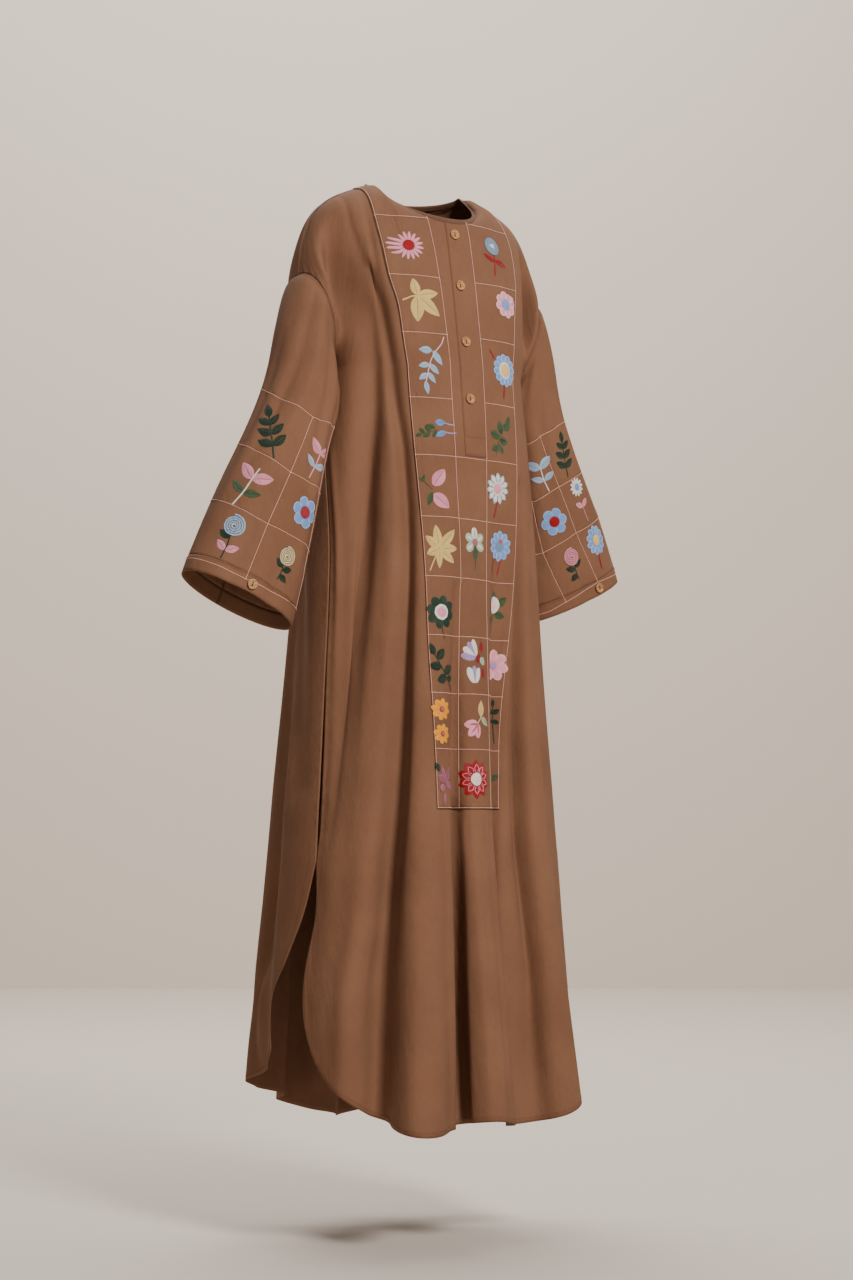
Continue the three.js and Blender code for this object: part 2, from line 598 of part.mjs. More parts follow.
for (const { word, side, rows, normals } of sleeves) {
  addPiece(`sleeve_${word}`, wallGeometry(rows, moveOut(rows, normals, -CLOTH), true), clothMaterial);

  const cuffRows = sleeveRows(side, [CUFF_START + CUFF_GAP, 1]);
  const cuffNormals = gridNormals(cuffRows, true);
  const outer = moveOut(cuffRows, cuffNormals, BAND_CLOTH - CLOTH);
  addPiece(`cuff_${word}`, wallGeometry(outer, moveOut(cuffRows, cuffNormals, -CLOTH), true), clothMaterial);

  const k = Math.round((CUFF_BUTTON_TURN / 360) * YOKE_CELLS * 2);
  const seat = outer[0][k].clone().lerp(outer[1][k], 0.5);
  placeButton(`button_cuff_${word}`, seat.addScaledVector(cuffNormals[0][k], SEAM_GAP), cuffNormals[0][k]);
}

// Front buttons, down the middle of the stand
const middleColumn = columns.findIndex((column) => column.length === 0);
FRONT_BUTTON_Z.forEach((z, n) => {
  let i = 0;
  while (frontRows[i + 1][middleColumn].z > z) i += 1;
  const above = frontRows[i][middleColumn];
  const below = frontRows[i + 1][middleColumn];
  const share = (above.z - z) / (above.z - below.z);
  const normal = frontNormals[i][middleColumn].clone().lerp(frontNormals[i + 1][middleColumn], share);
  const seat = above.clone().lerp(below, share);
  normal.normalize();
  placeButton(`button_front_${n + 1}`, seat.addScaledVector(normal, standStart + STAND_CLOTH + SEAM_GAP), normal);
});

export default dress;
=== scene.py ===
"""A long brown dress with an embroidered front panel, wide sleeves and side slits, shown
standing hollow as it is worn. Metres in the scene; the shape is worked out in millimetres.

The shape section rebuilds the dress's surface from the same sections and folds as the solids,
on a finer grid, and lays the finer creases on it. Everything sewn on is placed by its
cloth coordinates on that surface.
"""

import math

import bpy
import numpy as np
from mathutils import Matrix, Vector


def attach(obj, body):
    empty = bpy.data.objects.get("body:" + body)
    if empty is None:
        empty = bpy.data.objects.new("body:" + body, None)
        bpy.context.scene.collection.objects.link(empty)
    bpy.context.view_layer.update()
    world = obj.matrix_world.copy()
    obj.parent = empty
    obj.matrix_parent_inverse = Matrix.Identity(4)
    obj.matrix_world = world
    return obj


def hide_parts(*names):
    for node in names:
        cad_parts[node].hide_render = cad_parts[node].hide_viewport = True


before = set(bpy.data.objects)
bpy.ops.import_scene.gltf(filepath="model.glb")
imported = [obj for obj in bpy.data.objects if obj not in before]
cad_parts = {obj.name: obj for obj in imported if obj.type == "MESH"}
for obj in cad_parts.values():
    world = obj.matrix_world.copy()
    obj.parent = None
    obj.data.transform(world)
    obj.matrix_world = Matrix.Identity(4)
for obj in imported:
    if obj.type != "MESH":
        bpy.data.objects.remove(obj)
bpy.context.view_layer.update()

# SHAPE

# Millimetres and degrees. CLOTH is the thickness that shows, less than the solids have.
CLOTH = 0.9
NECK_HALF_WIDTH = 88
NECK_FRONT = (-98, 64)
NECK_BACK = (62, 12)
SHOULDER_Y = 3
UNDERARM_Z = -288
SLIT_TOP_Z = -1009
HEM_Z = -1392
ARMHOLE = dict(x=185, y=0, z=-218, half=71.5, depth=60, tilt=72, lift=8)
PANEL_HALF_WIDTH = 97
BACK_COLUMN_RADIUS = 175
SQUARENESS = 2.3
SHARE_LENGTH = 200

# Sections seen from above: height, half width, front depth, back depth
SECTIONS = np.array([
    (-200, 156, 131, 112),
    (-288, 163, 138, 118),
    (-421, 176, 147, 128),
    (-600, 192, 150, 141),
    (-768, 205, 156, 152),
    (-936, 219, 160, 165),
    (-1100, 230, 170, 178),
    (-1250, 240, 181, 189),
    (-1430, 250, 192, 201),
], float)

# Folds of the skirt: angle at the top, at the hem, half width, start, full, depth, hem depth
FOLDS = [
    (64, 62, 30, -280, -640, 30, 22),
    (122, 120, 26, -380, -860, -22, -12),
    (29, 20, 5, -450, -640, 6, 0),
    (34, 30, 12, -500, -900, 5, 10),
    (48, 43, 9, -480, -950, -16, -30),
    (62, 58, 12, -560, -1000, 12, 30),
    (76, 75, 8, -520, -900, -16, -34),
    (93, 94, 13, -600, -950, 6, 28),
    (112, 114, 9, -400, -860, -22, -36),
    (134, 136, 14, -500, -950, 10, 34),
    (151, 151, 9, -560, -950, -8, -20),
    (165, 165, 9, -560, -950, 4, 10),
    (186, 187, 9, -520, -950, -6, -17),
    (202, 203, 11, -560, -950, 6, 17),
    (219, 219, 9, -430, -900, -10, -23),
    (235, 236, 12, -560, -980, 6, 18),
    (248, 250, 8, -500, -950, -9, -22),
    (266, 265, 12, -600, -950, 5, 18),
    (284, 281, 9, -420, -900, -11, -25),
    (298, 297, 11, -580, -960, 6, 17),
    (313, 312, 8, -540, -950, -9, -20),
    (328, 329, 12, -560, -950, 5, 16),
    (346, 346, 8, -520, -900, -7, -15),
]

# Angle of the side seam and of the slit's edges from the side line: height, seen side, hidden side
SEAM_ANGLES = np.array([
    (-288, 0, 0), (-421, 8, 7), (-560, 15, 12), (-768, 16.3, 14), (-1009, 16.8, 15),
])
FRONT_SLIT_EDGE = np.array([
    (-1009, 16.8, 15), (-1085, 17.6, 15.4), (-1174, 13.8, 15.2), (-1280, 14.2, 16),
])
BACK_SLIT_EDGE = np.array([
    (-1009, 16.8, 15), (-1085, 12, 13), (-1147, 4.5, 10), (-1220, -6, 7), (-1311, 0, 5),
])

HEM_ANGLE_Z = -1300
FRONT_CORNER = (165, 34)
FRONT_HEM_LIFT = (20, 60)
FRONT_HEM_WAVE = dict(depth=9, middle=58, waves=6, base=-4)
BACK_HEM = dict(drop=16, rise=114, power=1.2)
BACK_CORNER = (22, 0.1)

SHOULDER_LINE = np.array([
    (0, 88, 0), (0.28, 130, -16), (0.5, 163, -35), (0.68, 186, -62), (0.84, 201, -104), (1, 207.1, -150),
], float)

# Sleeve: share of its length, x, z and y of the wearer's right and left, tilt, half width, depth
SLEEVE_STATIONS = np.array([
    (0, 185, -218, -218, 0, 0, 72, 71.5, 60),
    (0.035, 193, -225, -225, -3, 0, 69, 70, 60),
    (0.12, 200, -269, -266, -14, 1, 50, 67, 57),
    (0.25, 212, -321, -314, -24, 8, 31, 62, 54),
    (0.4, 237, -384, -372, -32, 18, 23, 63, 53),
    (0.7, 282, -511, -488, -32, 32, 23, 81, 57),
    (0.945, 317.5, -616, -583, -29, 43, 25, 91, 61),
    (1, 325, -639, -605, -28, 45, 25, 92, 62),
], float)
SLEEVE_CLEARANCE = 3
GROOVE = dict(depth=46, middle=0.6, half=0.3, full=0.5, fading=0.5, gone=0.85, back=0.7)
YOKE_ARCH = (2.6, 1.9)
YOKE_FLAT_POWER = 0.9
# How far the panel spreads towards the armhole on the chest, as a share of the way there
PANEL_SPREAD = np.array([
    (0, 0.1), (0.2, 0.17), (0.38, 0.17), (0.53, 0.15), (0.68, 0.085), (0.85, 0.045), (0.94, 0.02), (1, 0),
])
PANEL_SPREAD_POWER = 4
ARM_PULL_POWER = 2.4


def smooth(t):
    t = np.clip(t, 0.0, 1.0)
    return t * t * (3 - 2 * t)


def mix(a, b, t):
    return a + (b - a) * t


def read_table(table, value, column):
    """A smooth curve through one column of a table, read at values of its first column."""
    value = np.asarray(value, float)
    sign = 1.0 if table[-1, 0] > table[0, 0] else -1.0
    keys = sign * table[:, 0]
    data = table[:, column]
    place = sign * value
    k = np.clip(np.searchsorted(keys, place, side="left") - 1, 0, len(keys) - 2)
    span = keys[k + 1] - keys[k]
    t = np.clip((place - keys[k]) / span, 0.0, 1.0)
    low = np.maximum(np.arange(len(keys)) - 1, 0)
    high = np.minimum(np.arange(len(keys)) + 1, len(keys) - 1)
    slope = (data[high] - data[low]) / (keys[high] - keys[low])
    t2, t3 = t * t, t ** 3
    ease = (2 * t3 - 3 * t2 + 1) * data[k] + (3 * t2 - 2 * t3) * data[k + 1]
    return ease + (t3 - 2 * t2 + t) * span * slope[k] + (t3 - t2) * span * slope[k + 1]


def fold_relief(angle, z):
    """How far the skirt's folds stand out of the plain section."""
    relief = np.zeros(np.broadcast(angle, z).shape)
    for top, hem, half, start, full, depth, hem_depth in FOLDS:
        down = (start - z) / (start - HEM_Z)
        away = np.abs(angle - mix(top, hem, down)) % 360
        away = np.minimum(away, 360 - away) / half
        grown = smooth((start - z) / (start - full))
        late = np.clip((full - z) / (full - HEM_Z), 0, 1)
        shape = np.cos(np.minimum(away / 1.6, 1.0) * (math.pi / 2)) ** 3
        relief += np.where(z > start, 0.0, grown * mix(depth, hem_depth, late) * shape)
    return relief


def section_point(angle, z):
    """Points of the dress below the underarm, at angles round the body."""
    angle, z = np.broadcast_arrays(np.asarray(angle, float), np.asarray(z, float))
    half = read_table(SECTIONS, z, 1)
    cos, sin = np.cos(np.radians(angle)), np.sin(np.radians(angle))
    depth = np.where(sin > 0, read_table(SECTIONS, z, 2), read_table(SECTIONS, z, 3))
    plain = (np.abs(cos / half) ** SQUARENESS + np.abs(sin / depth) ** SQUARENESS) ** (-1 / SQUARENESS)
    radius = plain + fold_relief(angle, z)
    return np.stack([-radius * cos, -radius * sin, z], axis=-1)


FRONT_ANGLE = 90
TRACE_ANGLES = 0.5 * np.arange(0, 101)
TRACE_ROWS = 90
TRACE_COLUMNS = 41


def angle_at_length(length, z):
    """The angle that lies a length of cloth away from the middle of the front, for one height each."""
    result = np.full(length.shape, float(FRONT_ANGLE))
    for sign in (-1, 1):
        angles = FRONT_ANGLE + sign * TRACE_ANGLES
        pts = section_point(angles[None, :], z.reshape(-1, 1))
        walked = np.linalg.norm(np.diff(pts, axis=1), axis=2)
        total = np.concatenate([np.zeros((len(walked), 1)), np.cumsum(walked, axis=1)], axis=1)
        for i in range(len(total)):
            row = np.interp(np.abs(length[i]), total[i], angles)
            result[i] = np.where(sign * length[i] > 0, row, result[i])
    return result


def edge_angle(is_front, side, z):
    """Angle of the side seam, or of the slit's edge below it, away from the side line."""
    slit = FRONT_SLIT_EDGE if is_front else BACK_SLIT_EDGE
    seam, edge = (
        np.where(side < 0, read_table(table, z, 1), read_table(table, z, 2)) for table in (SEAM_ANGLES, slit)
    )
    return np.where(z >= SLIT_TOP_Z, seam, edge)


def column_angle(is_front, side, length, share, z):
    """Angle of each column of the cloth at its height. All arrays are rows by columns."""
    edge = edge_angle(is_front, side, z)
    if is_front:
        heights = np.linspace(z.min(), z.max() + 1, TRACE_ROWS)
        span = np.linspace(-PANEL_HALF_WIDTH, PANEL_HALF_WIDTH, TRACE_COLUMNS)
        table = angle_at_length(np.broadcast_to(span, (TRACE_ROWS, TRACE_COLUMNS)), heights)
        row = np.clip((z - heights[0]) / (heights[1] - heights[0]), 0, TRACE_ROWS - 1.001)
        column = (side * length + PANEL_HALF_WIDTH) / (span[1] - span[0])
        column = np.clip(column, 0, TRACE_COLUMNS - 1.001)
        i, j = row.astype(int), column.astype(int)
        u, v = row - i, column - j
        inner = ((1 - u) * (1 - v) * table[i, j] + u * (1 - v) * table[i + 1, j]
                 + (1 - u) * v * table[i, j + 1] + u * v * table[i + 1, j + 1])
        outer = np.where(side < 0, edge, 180 - edge)
    else:
        inner = 270 - np.degrees(side * length / BACK_COLUMN_RADIUS)
        outer = np.where(side < 0, 360 + edge, 180 - edge)
    return mix(inner, outer, share)


def hem_height(is_front, side, length, share):
    """Height of the hem under each column, with its rounded corners at the slits."""
    z = np.full(side.shape, float(HEM_ANGLE_Z))
    angle = column_angle(is_front, side[None], length[None], share[None], z[None])[0]
    edge = edge_angle(is_front, side, z)
    if is_front:
        from_edge = np.where(side < 0, angle - edge, 180 - edge - angle)
        inside = 1 - np.clip(from_edge / FRONT_CORNER[1], 0, 1)
        corner = FRONT_CORNER[0] * (1 - np.sqrt(1 - inside ** 2))
        lift = FRONT_HEM_LIFT[0] * smooth(1 - from_edge / FRONT_HEM_LIFT[1])
        turn = np.radians((angle - FRONT_HEM_WAVE["middle"]) * FRONT_HEM_WAVE["waves"])
        return HEM_Z + corner + lift - FRONT_HEM_WAVE["base"] - FRONT_HEM_WAVE["depth"] * np.cos(turn)
    from_middle = np.abs(angle - 270) / (90 + edge)
    inside = np.clip((from_middle - 1 + BACK_CORNER[1]) / BACK_CORNER[1], 0, 1)
    corner = BACK_CORNER[0] * (1 - np.sqrt(1 - inside ** 2))
    return HEM_Z - BACK_HEM["drop"] + BACK_HEM["rise"] * from_middle ** BACK_HEM["power"] + corner


def armhole_point(side, turn):
    along, across = np.cos(np.radians(turn)), np.sin(np.radians(turn))
    tilt = math.radians(ARMHOLE["tilt"])
    x = ARMHOLE["x"] + ARMHOLE["half"] * math.cos(tilt) * along
    z = ARMHOLE["z"] + ARMHOLE["half"] * math.sin(tilt) * along + ARMHOLE["lift"] * np.maximum(across, 0)
    return np.stack(np.broadcast_arrays(side * x, ARMHOLE["y"] - ARMHOLE["depth"] * across, z), axis=-1)


def top_point(is_front, side, length, share):
    reach, drop = NECK_FRONT if is_front else NECK_BACK
    low = np.sqrt(np.maximum(0, 1 - (length / NECK_HALF_WIDTH) ** 2))
    neck = np.stack([side * length, SHOULDER_Y + (reach - SHOULDER_Y) * low, -drop * low], axis=-1)
    first = (length - NECK_HALF_WIDTH) / (SHOULDER_LINE[1, 1] - NECK_HALF_WIDTH) * SHOULDER_LINE[1, 0]
    at = mix(first, 1, share)
    shoulder = np.stack([
        side * read_table(SHOULDER_LINE, at, 1),
        mix(SHOULDER_Y, ARMHOLE["y"], at),
        read_table(SHOULDER_LINE, at, 2),
    ], axis=-1)
    return np.where((length <= NECK_HALF_WIDTH)[..., None], neck, shoulder)


def yoke_point(is_front, side, length, share, down):
    """Points above the underarm. side, length and share run along a row, and down runs down a column."""
    side, length, share, down = np.broadcast_arrays(side, length, share, down)
    spread = read_table(PANEL_SPREAD, down, 1) * (length / PANEL_HALF_WIDTH) ** PANEL_SPREAD_POWER
    share = share + spread * (1 - share)
    top = top_point(is_front, side, length, share)
    level = np.full(side.shape, float(UNDERARM_Z))
    bottom = section_point(column_angle(is_front, side, length, share, level), level)
    one = np.ones(side.shape)
    edge_top = top_point(is_front, side, PANEL_HALF_WIDTH * one, one)
    edge_bottom = armhole_point(side, 180 * one)
    arm = armhole_point(side, 180 * down if is_front else 360 - 180 * down)
    arch = (1 - (1 - down) ** YOKE_ARCH[0]) ** (1 / YOKE_ARCH[1])
    flat = down ** YOKE_FLAT_POWER
    forward = mix(flat, arch, smooth(length / PANEL_HALF_WIDTH))
    t = np.stack([down, forward, down], axis=-1)
    out = np.stack([share, share ** ARM_PULL_POWER, share], axis=-1)
    point = mix(top, bottom, t) + out * (arm - mix(edge_top, edge_bottom, t))
    away = (share - GROOVE["middle"]) / GROOVE["half"]
    fade = smooth((down - GROOVE["fading"]) / (GROOVE["gone"] - GROOVE["fading"]))
    depth = GROOVE["depth"] * smooth(down / GROOVE["full"]) * (1 - fade)
    shape = np.where(np.abs(away) < 1, np.cos(away * math.pi / 2) ** 2, 0)
    point[..., 1] += (1 if is_front else -GROOVE["back"]) * depth * shape
    return point


def sleeve_point(side, at, turn):
    """Points of a sleeve, as the armhole's ring but kept clear of the body's side."""
    at, turn = np.broadcast_arrays(np.asarray(at, float), np.asarray(turn, float))
    tilt = np.radians(read_table(SLEEVE_STATIONS, at, 6))
    half = read_table(SLEEVE_STATIONS, at, 7)
    along, across = np.cos(np.radians(turn)), np.sin(np.radians(turn))
    y = read_table(SLEEVE_STATIONS, at, 4 if side < 0 else 5) - read_table(SLEEVE_STATIONS, at, 8) * across
    lift = ARMHOLE["lift"] * np.maximum(across, 0) * (1 - smooth(at / 0.2))
    z = read_table(SLEEVE_STATIONS, at, 2 if side < 0 else 3) + half * np.sin(tilt) * along + lift
    x = read_table(SLEEVE_STATIONS, at, 1) + half * np.cos(tilt) * along
    depth = np.where(y < 0, read_table(SECTIONS, z, 2), read_table(SECTIONS, z, 3))
    inside = 1 - np.minimum(1, np.abs(y) / depth) ** SQUARENESS
    clear = read_table(SECTIONS, z, 1) * inside ** (1 / SQUARENESS) + SLEEVE_CLEARANCE
    x = np.where(z < UNDERARM_Z + 6, np.maximum(x, clear), x)
    return np.stack([side * x, y, z], axis=-1)

# CLOTH GRIDS

# Rows and columns of the body's cloth fall on these heights and lengths
CELL_LINES_Z = [-334, -421, -510, -600, -684, -768, -848, -936]
PANEL_COLUMNS = [0, 14, 28.5, 46, 64, 80, 88, 97]
STAND = (-14, 28.5, -421)
PANEL_FOOT_Z = -936
YOKE_ROWS = 60
SIDE_COLUMNS = 64
ROW_STEP = 7
COLUMN_STEP = 4
SIDE_SPACING = (0.62, 0.38)


def refine(values, step):
    """The values with evenly spaced ones added between them, no more than a step apart."""
    result = [values[0]]
    for a, b in zip(values, values[1:]):
        count = max(1, math.ceil(abs(b - a) / step))
        result += [a + (b - a) * k / count for k in range(1, count + 1)]
    return result


def grid_normals(points, closed_round):
    """Outward normals of a grid of points, turned away from the middle of its rows."""
    down = np.gradient(points, axis=0)
    if closed_round:
        across = np.roll(points, -1, axis=1) - np.roll(points, 1, axis=1)
        middle = points.mean(axis=1, keepdims=True)
    else:
        across = np.gradient(points, axis=1)
        middle = points * (0, 0, 1)
    normal = np.cross(down, across)
    normal /= np.linalg.norm(normal, axis=2, keepdims=True) + 1e-12
    outward = ((points - middle) * normal).sum()
    return normal if outward > 0 else -normal


def lengths_along(points, axis):
    """Length of cloth from the first row or column to each point, in millimetres."""
    step = np.linalg.norm(np.diff(points, axis=axis), axis=2)
    return np.insert(np.cumsum(step, axis=axis), 0, 0, axis=axis)


class Cloth:
    """A grid of points with their cloth coordinates u and v. u is the same all down a column."""

    def __init__(self, points, u, v, closed_round=False):
        self.points = points
        self.u = u
        self.v = v
        self.closed_round = closed_round
        self.normals = grid_normals(points, closed_round)

    def lay_creases(self, creases):
        """Moves the points in or out along soft lines. A crease is a depth, a width and its points."""
        moved = np.zeros(self.points.shape[:2])
        for depth, width, path in creases:
            path = np.array(path, float)
            first, last = path[:-1], path[1:]
            along = last - first
            size = np.linalg.norm(along, axis=1)
            passed = np.concatenate([[0], np.cumsum(size)])
            best = np.full(self.points.shape[:2], 1e9)
            place = np.zeros(self.points.shape[:2])
            for k in range(len(first)):
                du = self.u - first[k, 0]
                dv = self.v - first[k, 1]
                t = np.clip((du * along[k, 0] + dv * along[k, 1]) / size[k] ** 2, 0, 1)
                away = np.hypot(du - t * along[k, 0], dv - t * along[k, 1])
                nearer = away < best
                best = np.where(nearer, away, best)
                place = np.where(nearer, (passed[k] + t * size[k]) / passed[-1], place)
            taper = np.sin(np.pi * np.clip(0.08 + 0.84 * place, 0, 1)) ** 0.8
            moved += depth * taper * np.exp(-(best / width) ** 2)
        self.points = self.points + self.normals * moved[..., None]
        self.normals = grid_normals(self.points, self.closed_round)

    def place_of(self, u, v):
        """Row and column, with fractions, of cloth coordinates."""
        u, v = np.broadcast_arrays(np.asarray(u, float), np.asarray(v, float))
        line = self.u[0]
        column = np.interp(u, line, np.arange(len(line)))
        j = np.clip(column.astype(int), 0, len(line) - 2)
        part = column - j
        row = np.empty(u.shape)
        for at in np.ndindex(u.shape):
            heights = (1 - part[at]) * self.v[:, j[at]] + part[at] * self.v[:, j[at] + 1]
            row[at] = np.interp(-v[at], -heights, np.arange(len(heights)))
        return row, column

    def read(self, row, column, raised=0.0):
        """Points of the cloth at rows and columns with fractions, and the cloth's normals there."""
        i = np.clip(np.floor(row).astype(int), 0, self.points.shape[0] - 2)
        j = np.clip(np.floor(column).astype(int), 0, self.points.shape[1] - 2)
        s, t = (row - i)[..., None], (column - j)[..., None]

        def blend(grid):
            upper = grid[i, j] * (1 - t) + grid[i, j + 1] * t
            lower = grid[i + 1, j] * (1 - t) + grid[i + 1, j + 1] * t
            return upper * (1 - s) + lower * s

        normal = blend(self.normals)
        normal /= np.linalg.norm(normal, axis=-1, keepdims=True)
        return blend(self.points) + normal * np.asarray(raised)[..., None], normal


def body_columns():
    lengths = np.array(refine(PANEL_COLUMNS, COLUMN_STEP))
    even = np.arange(1, SIDE_COLUMNS + 1) / SIDE_COLUMNS
    shares = SIDE_SPACING[0] * even + SIDE_SPACING[1] * np.sin(even * math.pi / 2)
    length = np.concatenate([lengths, np.full(SIDE_COLUMNS, float(PANEL_HALF_WIDTH))])
    share = np.concatenate([np.zeros(len(lengths)), shares])
    side = np.concatenate([-np.ones(len(length) - 1), np.ones(len(length))])
    return side, np.concatenate([length[:0:-1], length]), np.concatenate([share[:0:-1], share])


SIDE, LENGTH, SHARE = body_columns()
BODY_U = SIDE * (LENGTH + SHARE * SHARE_LENGTH)
MIDDLE_Z = np.array(refine([UNDERARM_Z, *CELL_LINES_Z, SLIT_TOP_Z], ROW_STEP))
SLIT_ROW = YOKE_ROWS + len(MIDDLE_Z) - 1
TAIL_ROWS = 56


def body_cloth(is_front):
    columns = (SIDE[None, :], LENGTH[None, :], SHARE[None, :])
    down = (np.arange(YOKE_ROWS) / YOKE_ROWS)[:, None]
    yoke = yoke_point(is_front, *columns, down)
    z = np.broadcast_to(MIDDLE_Z[:, None], (len(MIDDLE_Z), len(SIDE)))
    middle = section_point(column_angle(is_front, *columns, z), z)
    fall = (np.arange(1, TAIL_ROWS + 1) / TAIL_ROWS)[:, None]
    z = mix(SLIT_TOP_Z, hem_height(is_front, SIDE, LENGTH, SHARE)[None, :], fall)
    tail = section_point(column_angle(is_front, *columns, z), z)
    points = np.concatenate([yoke, middle, tail])
    return Cloth(points, np.broadcast_to(BODY_U, points.shape[:2]), points[..., 2].copy())


CUFF_START = 0.945
SLEEVE_RINGS = 84
SLEEVE_LENGTH = 470
AROUND = YOKE_ROWS * 2


def sleeve_cloth(side, first, last, rings):
    """A sleeve's cloth. u is the turn in degrees, v how far down its length, both in even steps."""
    at = np.linspace(first, last, rings)[:, None]
    turn = (np.arange(AROUND) * 360 / AROUND - 90)[None, :]
    points = sleeve_point(side, at, turn)
    shape = points.shape[:2]
    u, v = np.broadcast_to(turn, shape).copy(), -np.broadcast_to(at, shape) * SLEEVE_LENGTH
    return Cloth(points, u, v, True)


def share_normals(front, back):
    """One normal on both sides of each seam between front and back, so that they stay closed."""
    shoulder = np.where(LENGTH >= NECK_HALF_WIDTH)[0]
    pairs = [(0, j) for j in shoulder]
    pairs += [(i, j) for i in range(YOKE_ROWS, SLIT_ROW + 1) for j in (0, -1)]
    for i, j in pairs:
        both = front.normals[i, j] + back.normals[i, j]
        both /= np.linalg.norm(both)
        front.normals[i, j] = back.normals[i, j] = both


# MESHES

def finish_mesh(name, points, faces, uv=None, attributes=None, smooth_faces=True):
    """An object at the origin from points in millimetres."""
    mesh = bpy.data.meshes.new(name)
    mesh.from_pydata((np.asarray(points) * 0.001).tolist(), [], faces)
    mesh.polygons.foreach_set("use_smooth", np.full(len(mesh.polygons), smooth_faces))
    if uv is not None:
        corner = np.empty(len(mesh.loops), int)
        mesh.loops.foreach_get("vertex_index", corner)
        layer = mesh.uv_layers.new(name="UVMap")
        layer.data.foreach_set("uv", np.asarray(uv, np.float32)[corner].ravel())
    for word, values in (attributes or {}).items():
        layer = mesh.attributes.new(word, "FLOAT", "POINT")
        layer.data.foreach_set("value", np.asarray(values, np.float32).ravel())
    obj = bpy.data.objects.new(name, mesh)
    bpy.context.scene.collection.objects.link(obj)
    return obj


def wall_faces(rows, columns, closed_round):
    """Quads of a closed wall: an outer grid, an inner grid after it and the rims between them."""
    wraps = columns if closed_round else columns - 1
    i, j = np.meshgrid(np.arange(rows - 1), np.arange(wraps), indexing="ij")
    a, b = i * columns + j, i * columns + (j + 1) % columns
    c, d = b + columns, a + columns
    inner = rows * columns
    faces = [np.stack([a, d, c, b], -1).reshape(-1, 4), np.stack([a, b, c, d], -1).reshape(-1, 4) + inner]
    j = np.arange(wraps)
    k = (j + 1) % columns
    low = (rows - 1) * columns
    faces.append(np.stack([j, k, k + inner, j + inner], -1))
    faces.append(np.stack([j + low, j + low + inner, k + low + inner, k + low], -1))
    if not closed_round:
        i = np.arange(rows - 1) * columns
        faces.append(np.stack([i, i + inner, i + columns + inner, i + columns], -1))
        i = i + columns - 1
        faces.append(np.stack([i, i + columns, i + columns + inner, i + inner], -1))
    return np.concatenate(faces)


def outward(points, faces):
    """The faces of a closed mesh, turned so that they face out of it."""
    a, b, c, d = (points[faces[:, k]] for k in range(4))
    volume = (np.cross(a, b) * c).sum() + (np.cross(a, c) * d).sum()
    return faces if volume > 0 else faces[:, ::-1]


def wall_object(name, cloth, seam, raised, thickness, rows=slice(None), columns=slice(None)):
    """A piece of cloth as a closed thin wall, its outer face raised off the grid."""
    points = cloth.points[rows, columns]
    normals = cloth.normals[rows, columns]
    outer = points + normals * raised
    inner = outer - normals * thickness
    both = np.concatenate([outer.reshape(-1, 3), inner.reshape(-1, 3)])
    faces = outward(both, wall_faces(*points.shape[:2], cloth.closed_round))
    across = lengths_along(points, 1)
    down = lengths_along(points, 0)
    uv = np.stack([across - across.mean(axis=1, keepdims=True), down], -1).reshape(-1, 2) * 0.001
    seam = np.tile(seam[rows, columns].ravel(), 2)
    return finish_mesh(name, both, faces.tolist(), np.tile(uv, (2, 1)), {"seam": seam})


CAMERA = dict(lens=75, turn=-34, tilt=94, away=4.0, aside=0.01725, z=-0.961)
VIEW_TURN = math.radians(CAMERA["turn"])
DRESS_MIDDLE = (0, 0, -0.75)
# Area lights: name, place, what it points at, size, power, colour
LIGHTS = [
    ("key", (-0.2, -3.4, 1.2), DRESS_MIDDLE, 0.8, 180, (1.0, 0.95, 0.9)),
    ("fill", (-3.2, -0.9, 0.5), DRESS_MIDDLE, 3.0, 12, (1.0, 0.96, 0.93)),
    ("wall", (1.2, 2.4, 3.4), (2.7, 4.0, -1.5), 5.0, 430, (1.0, 0.96, 0.92)),
]


def camera_and_light():
    """The photo's three-quarter view and its soft light from the right of the front."""
    data = bpy.data.cameras.new("camera")
    data.lens = CAMERA["lens"]
    camera = bpy.data.objects.new("camera", data)
    bpy.context.scene.collection.objects.link(camera)
    back = Vector((math.sin(VIEW_TURN), -math.cos(VIEW_TURN), 0))
    aside = Vector((math.cos(VIEW_TURN), math.sin(VIEW_TURN), 0))
    place = back * CAMERA["away"] + aside * CAMERA["aside"]
    camera.location = (place.x, place.y, CAMERA["z"])
    camera.rotation_euler = (math.radians(CAMERA["tilt"]), 0, VIEW_TURN)
    bpy.context.scene.camera = camera
    for name, spot, aim, size, power, shade in LIGHTS:
        data = bpy.data.lights.new(name, "AREA")
        data.size = size
        data.energy = power
        data.color = shade
        lamp = bpy.data.objects.new(name, data)
        lamp.location = spot
        lamp.rotation_euler = (Vector(aim) - Vector(spot)).to_track_quat("-Z", "Y").to_euler()
        bpy.context.scene.collection.objects.link(lamp)


# MATERIALS

class Value:
    """A shader socket that Python's operators work on."""

    def __init__(self, paint, socket):
        self.paint = paint
        self.socket = socket

    def __add__(self, other):
        return self.paint.math("ADD", self, other)

    def __sub__(self, other):
        return self.paint.math("SUBTRACT", self, other)

    def __mul__(self, other):
        return self.paint.math("MULTIPLY", self, other)

    def wave(self, period):
        return self.paint.math("SINE", self * (2 * math.pi / period)) * 0.5 + 0.5

    def rise(self, low, high):
        """0 below low, 1 above high and smooth between them."""
        inputs = {"Value": self, "From Min": low, "From Max": high}
        return self.paint.made("ShaderNodeMapRange", "Result", inputs, interpolation_type="SMOOTHSTEP")


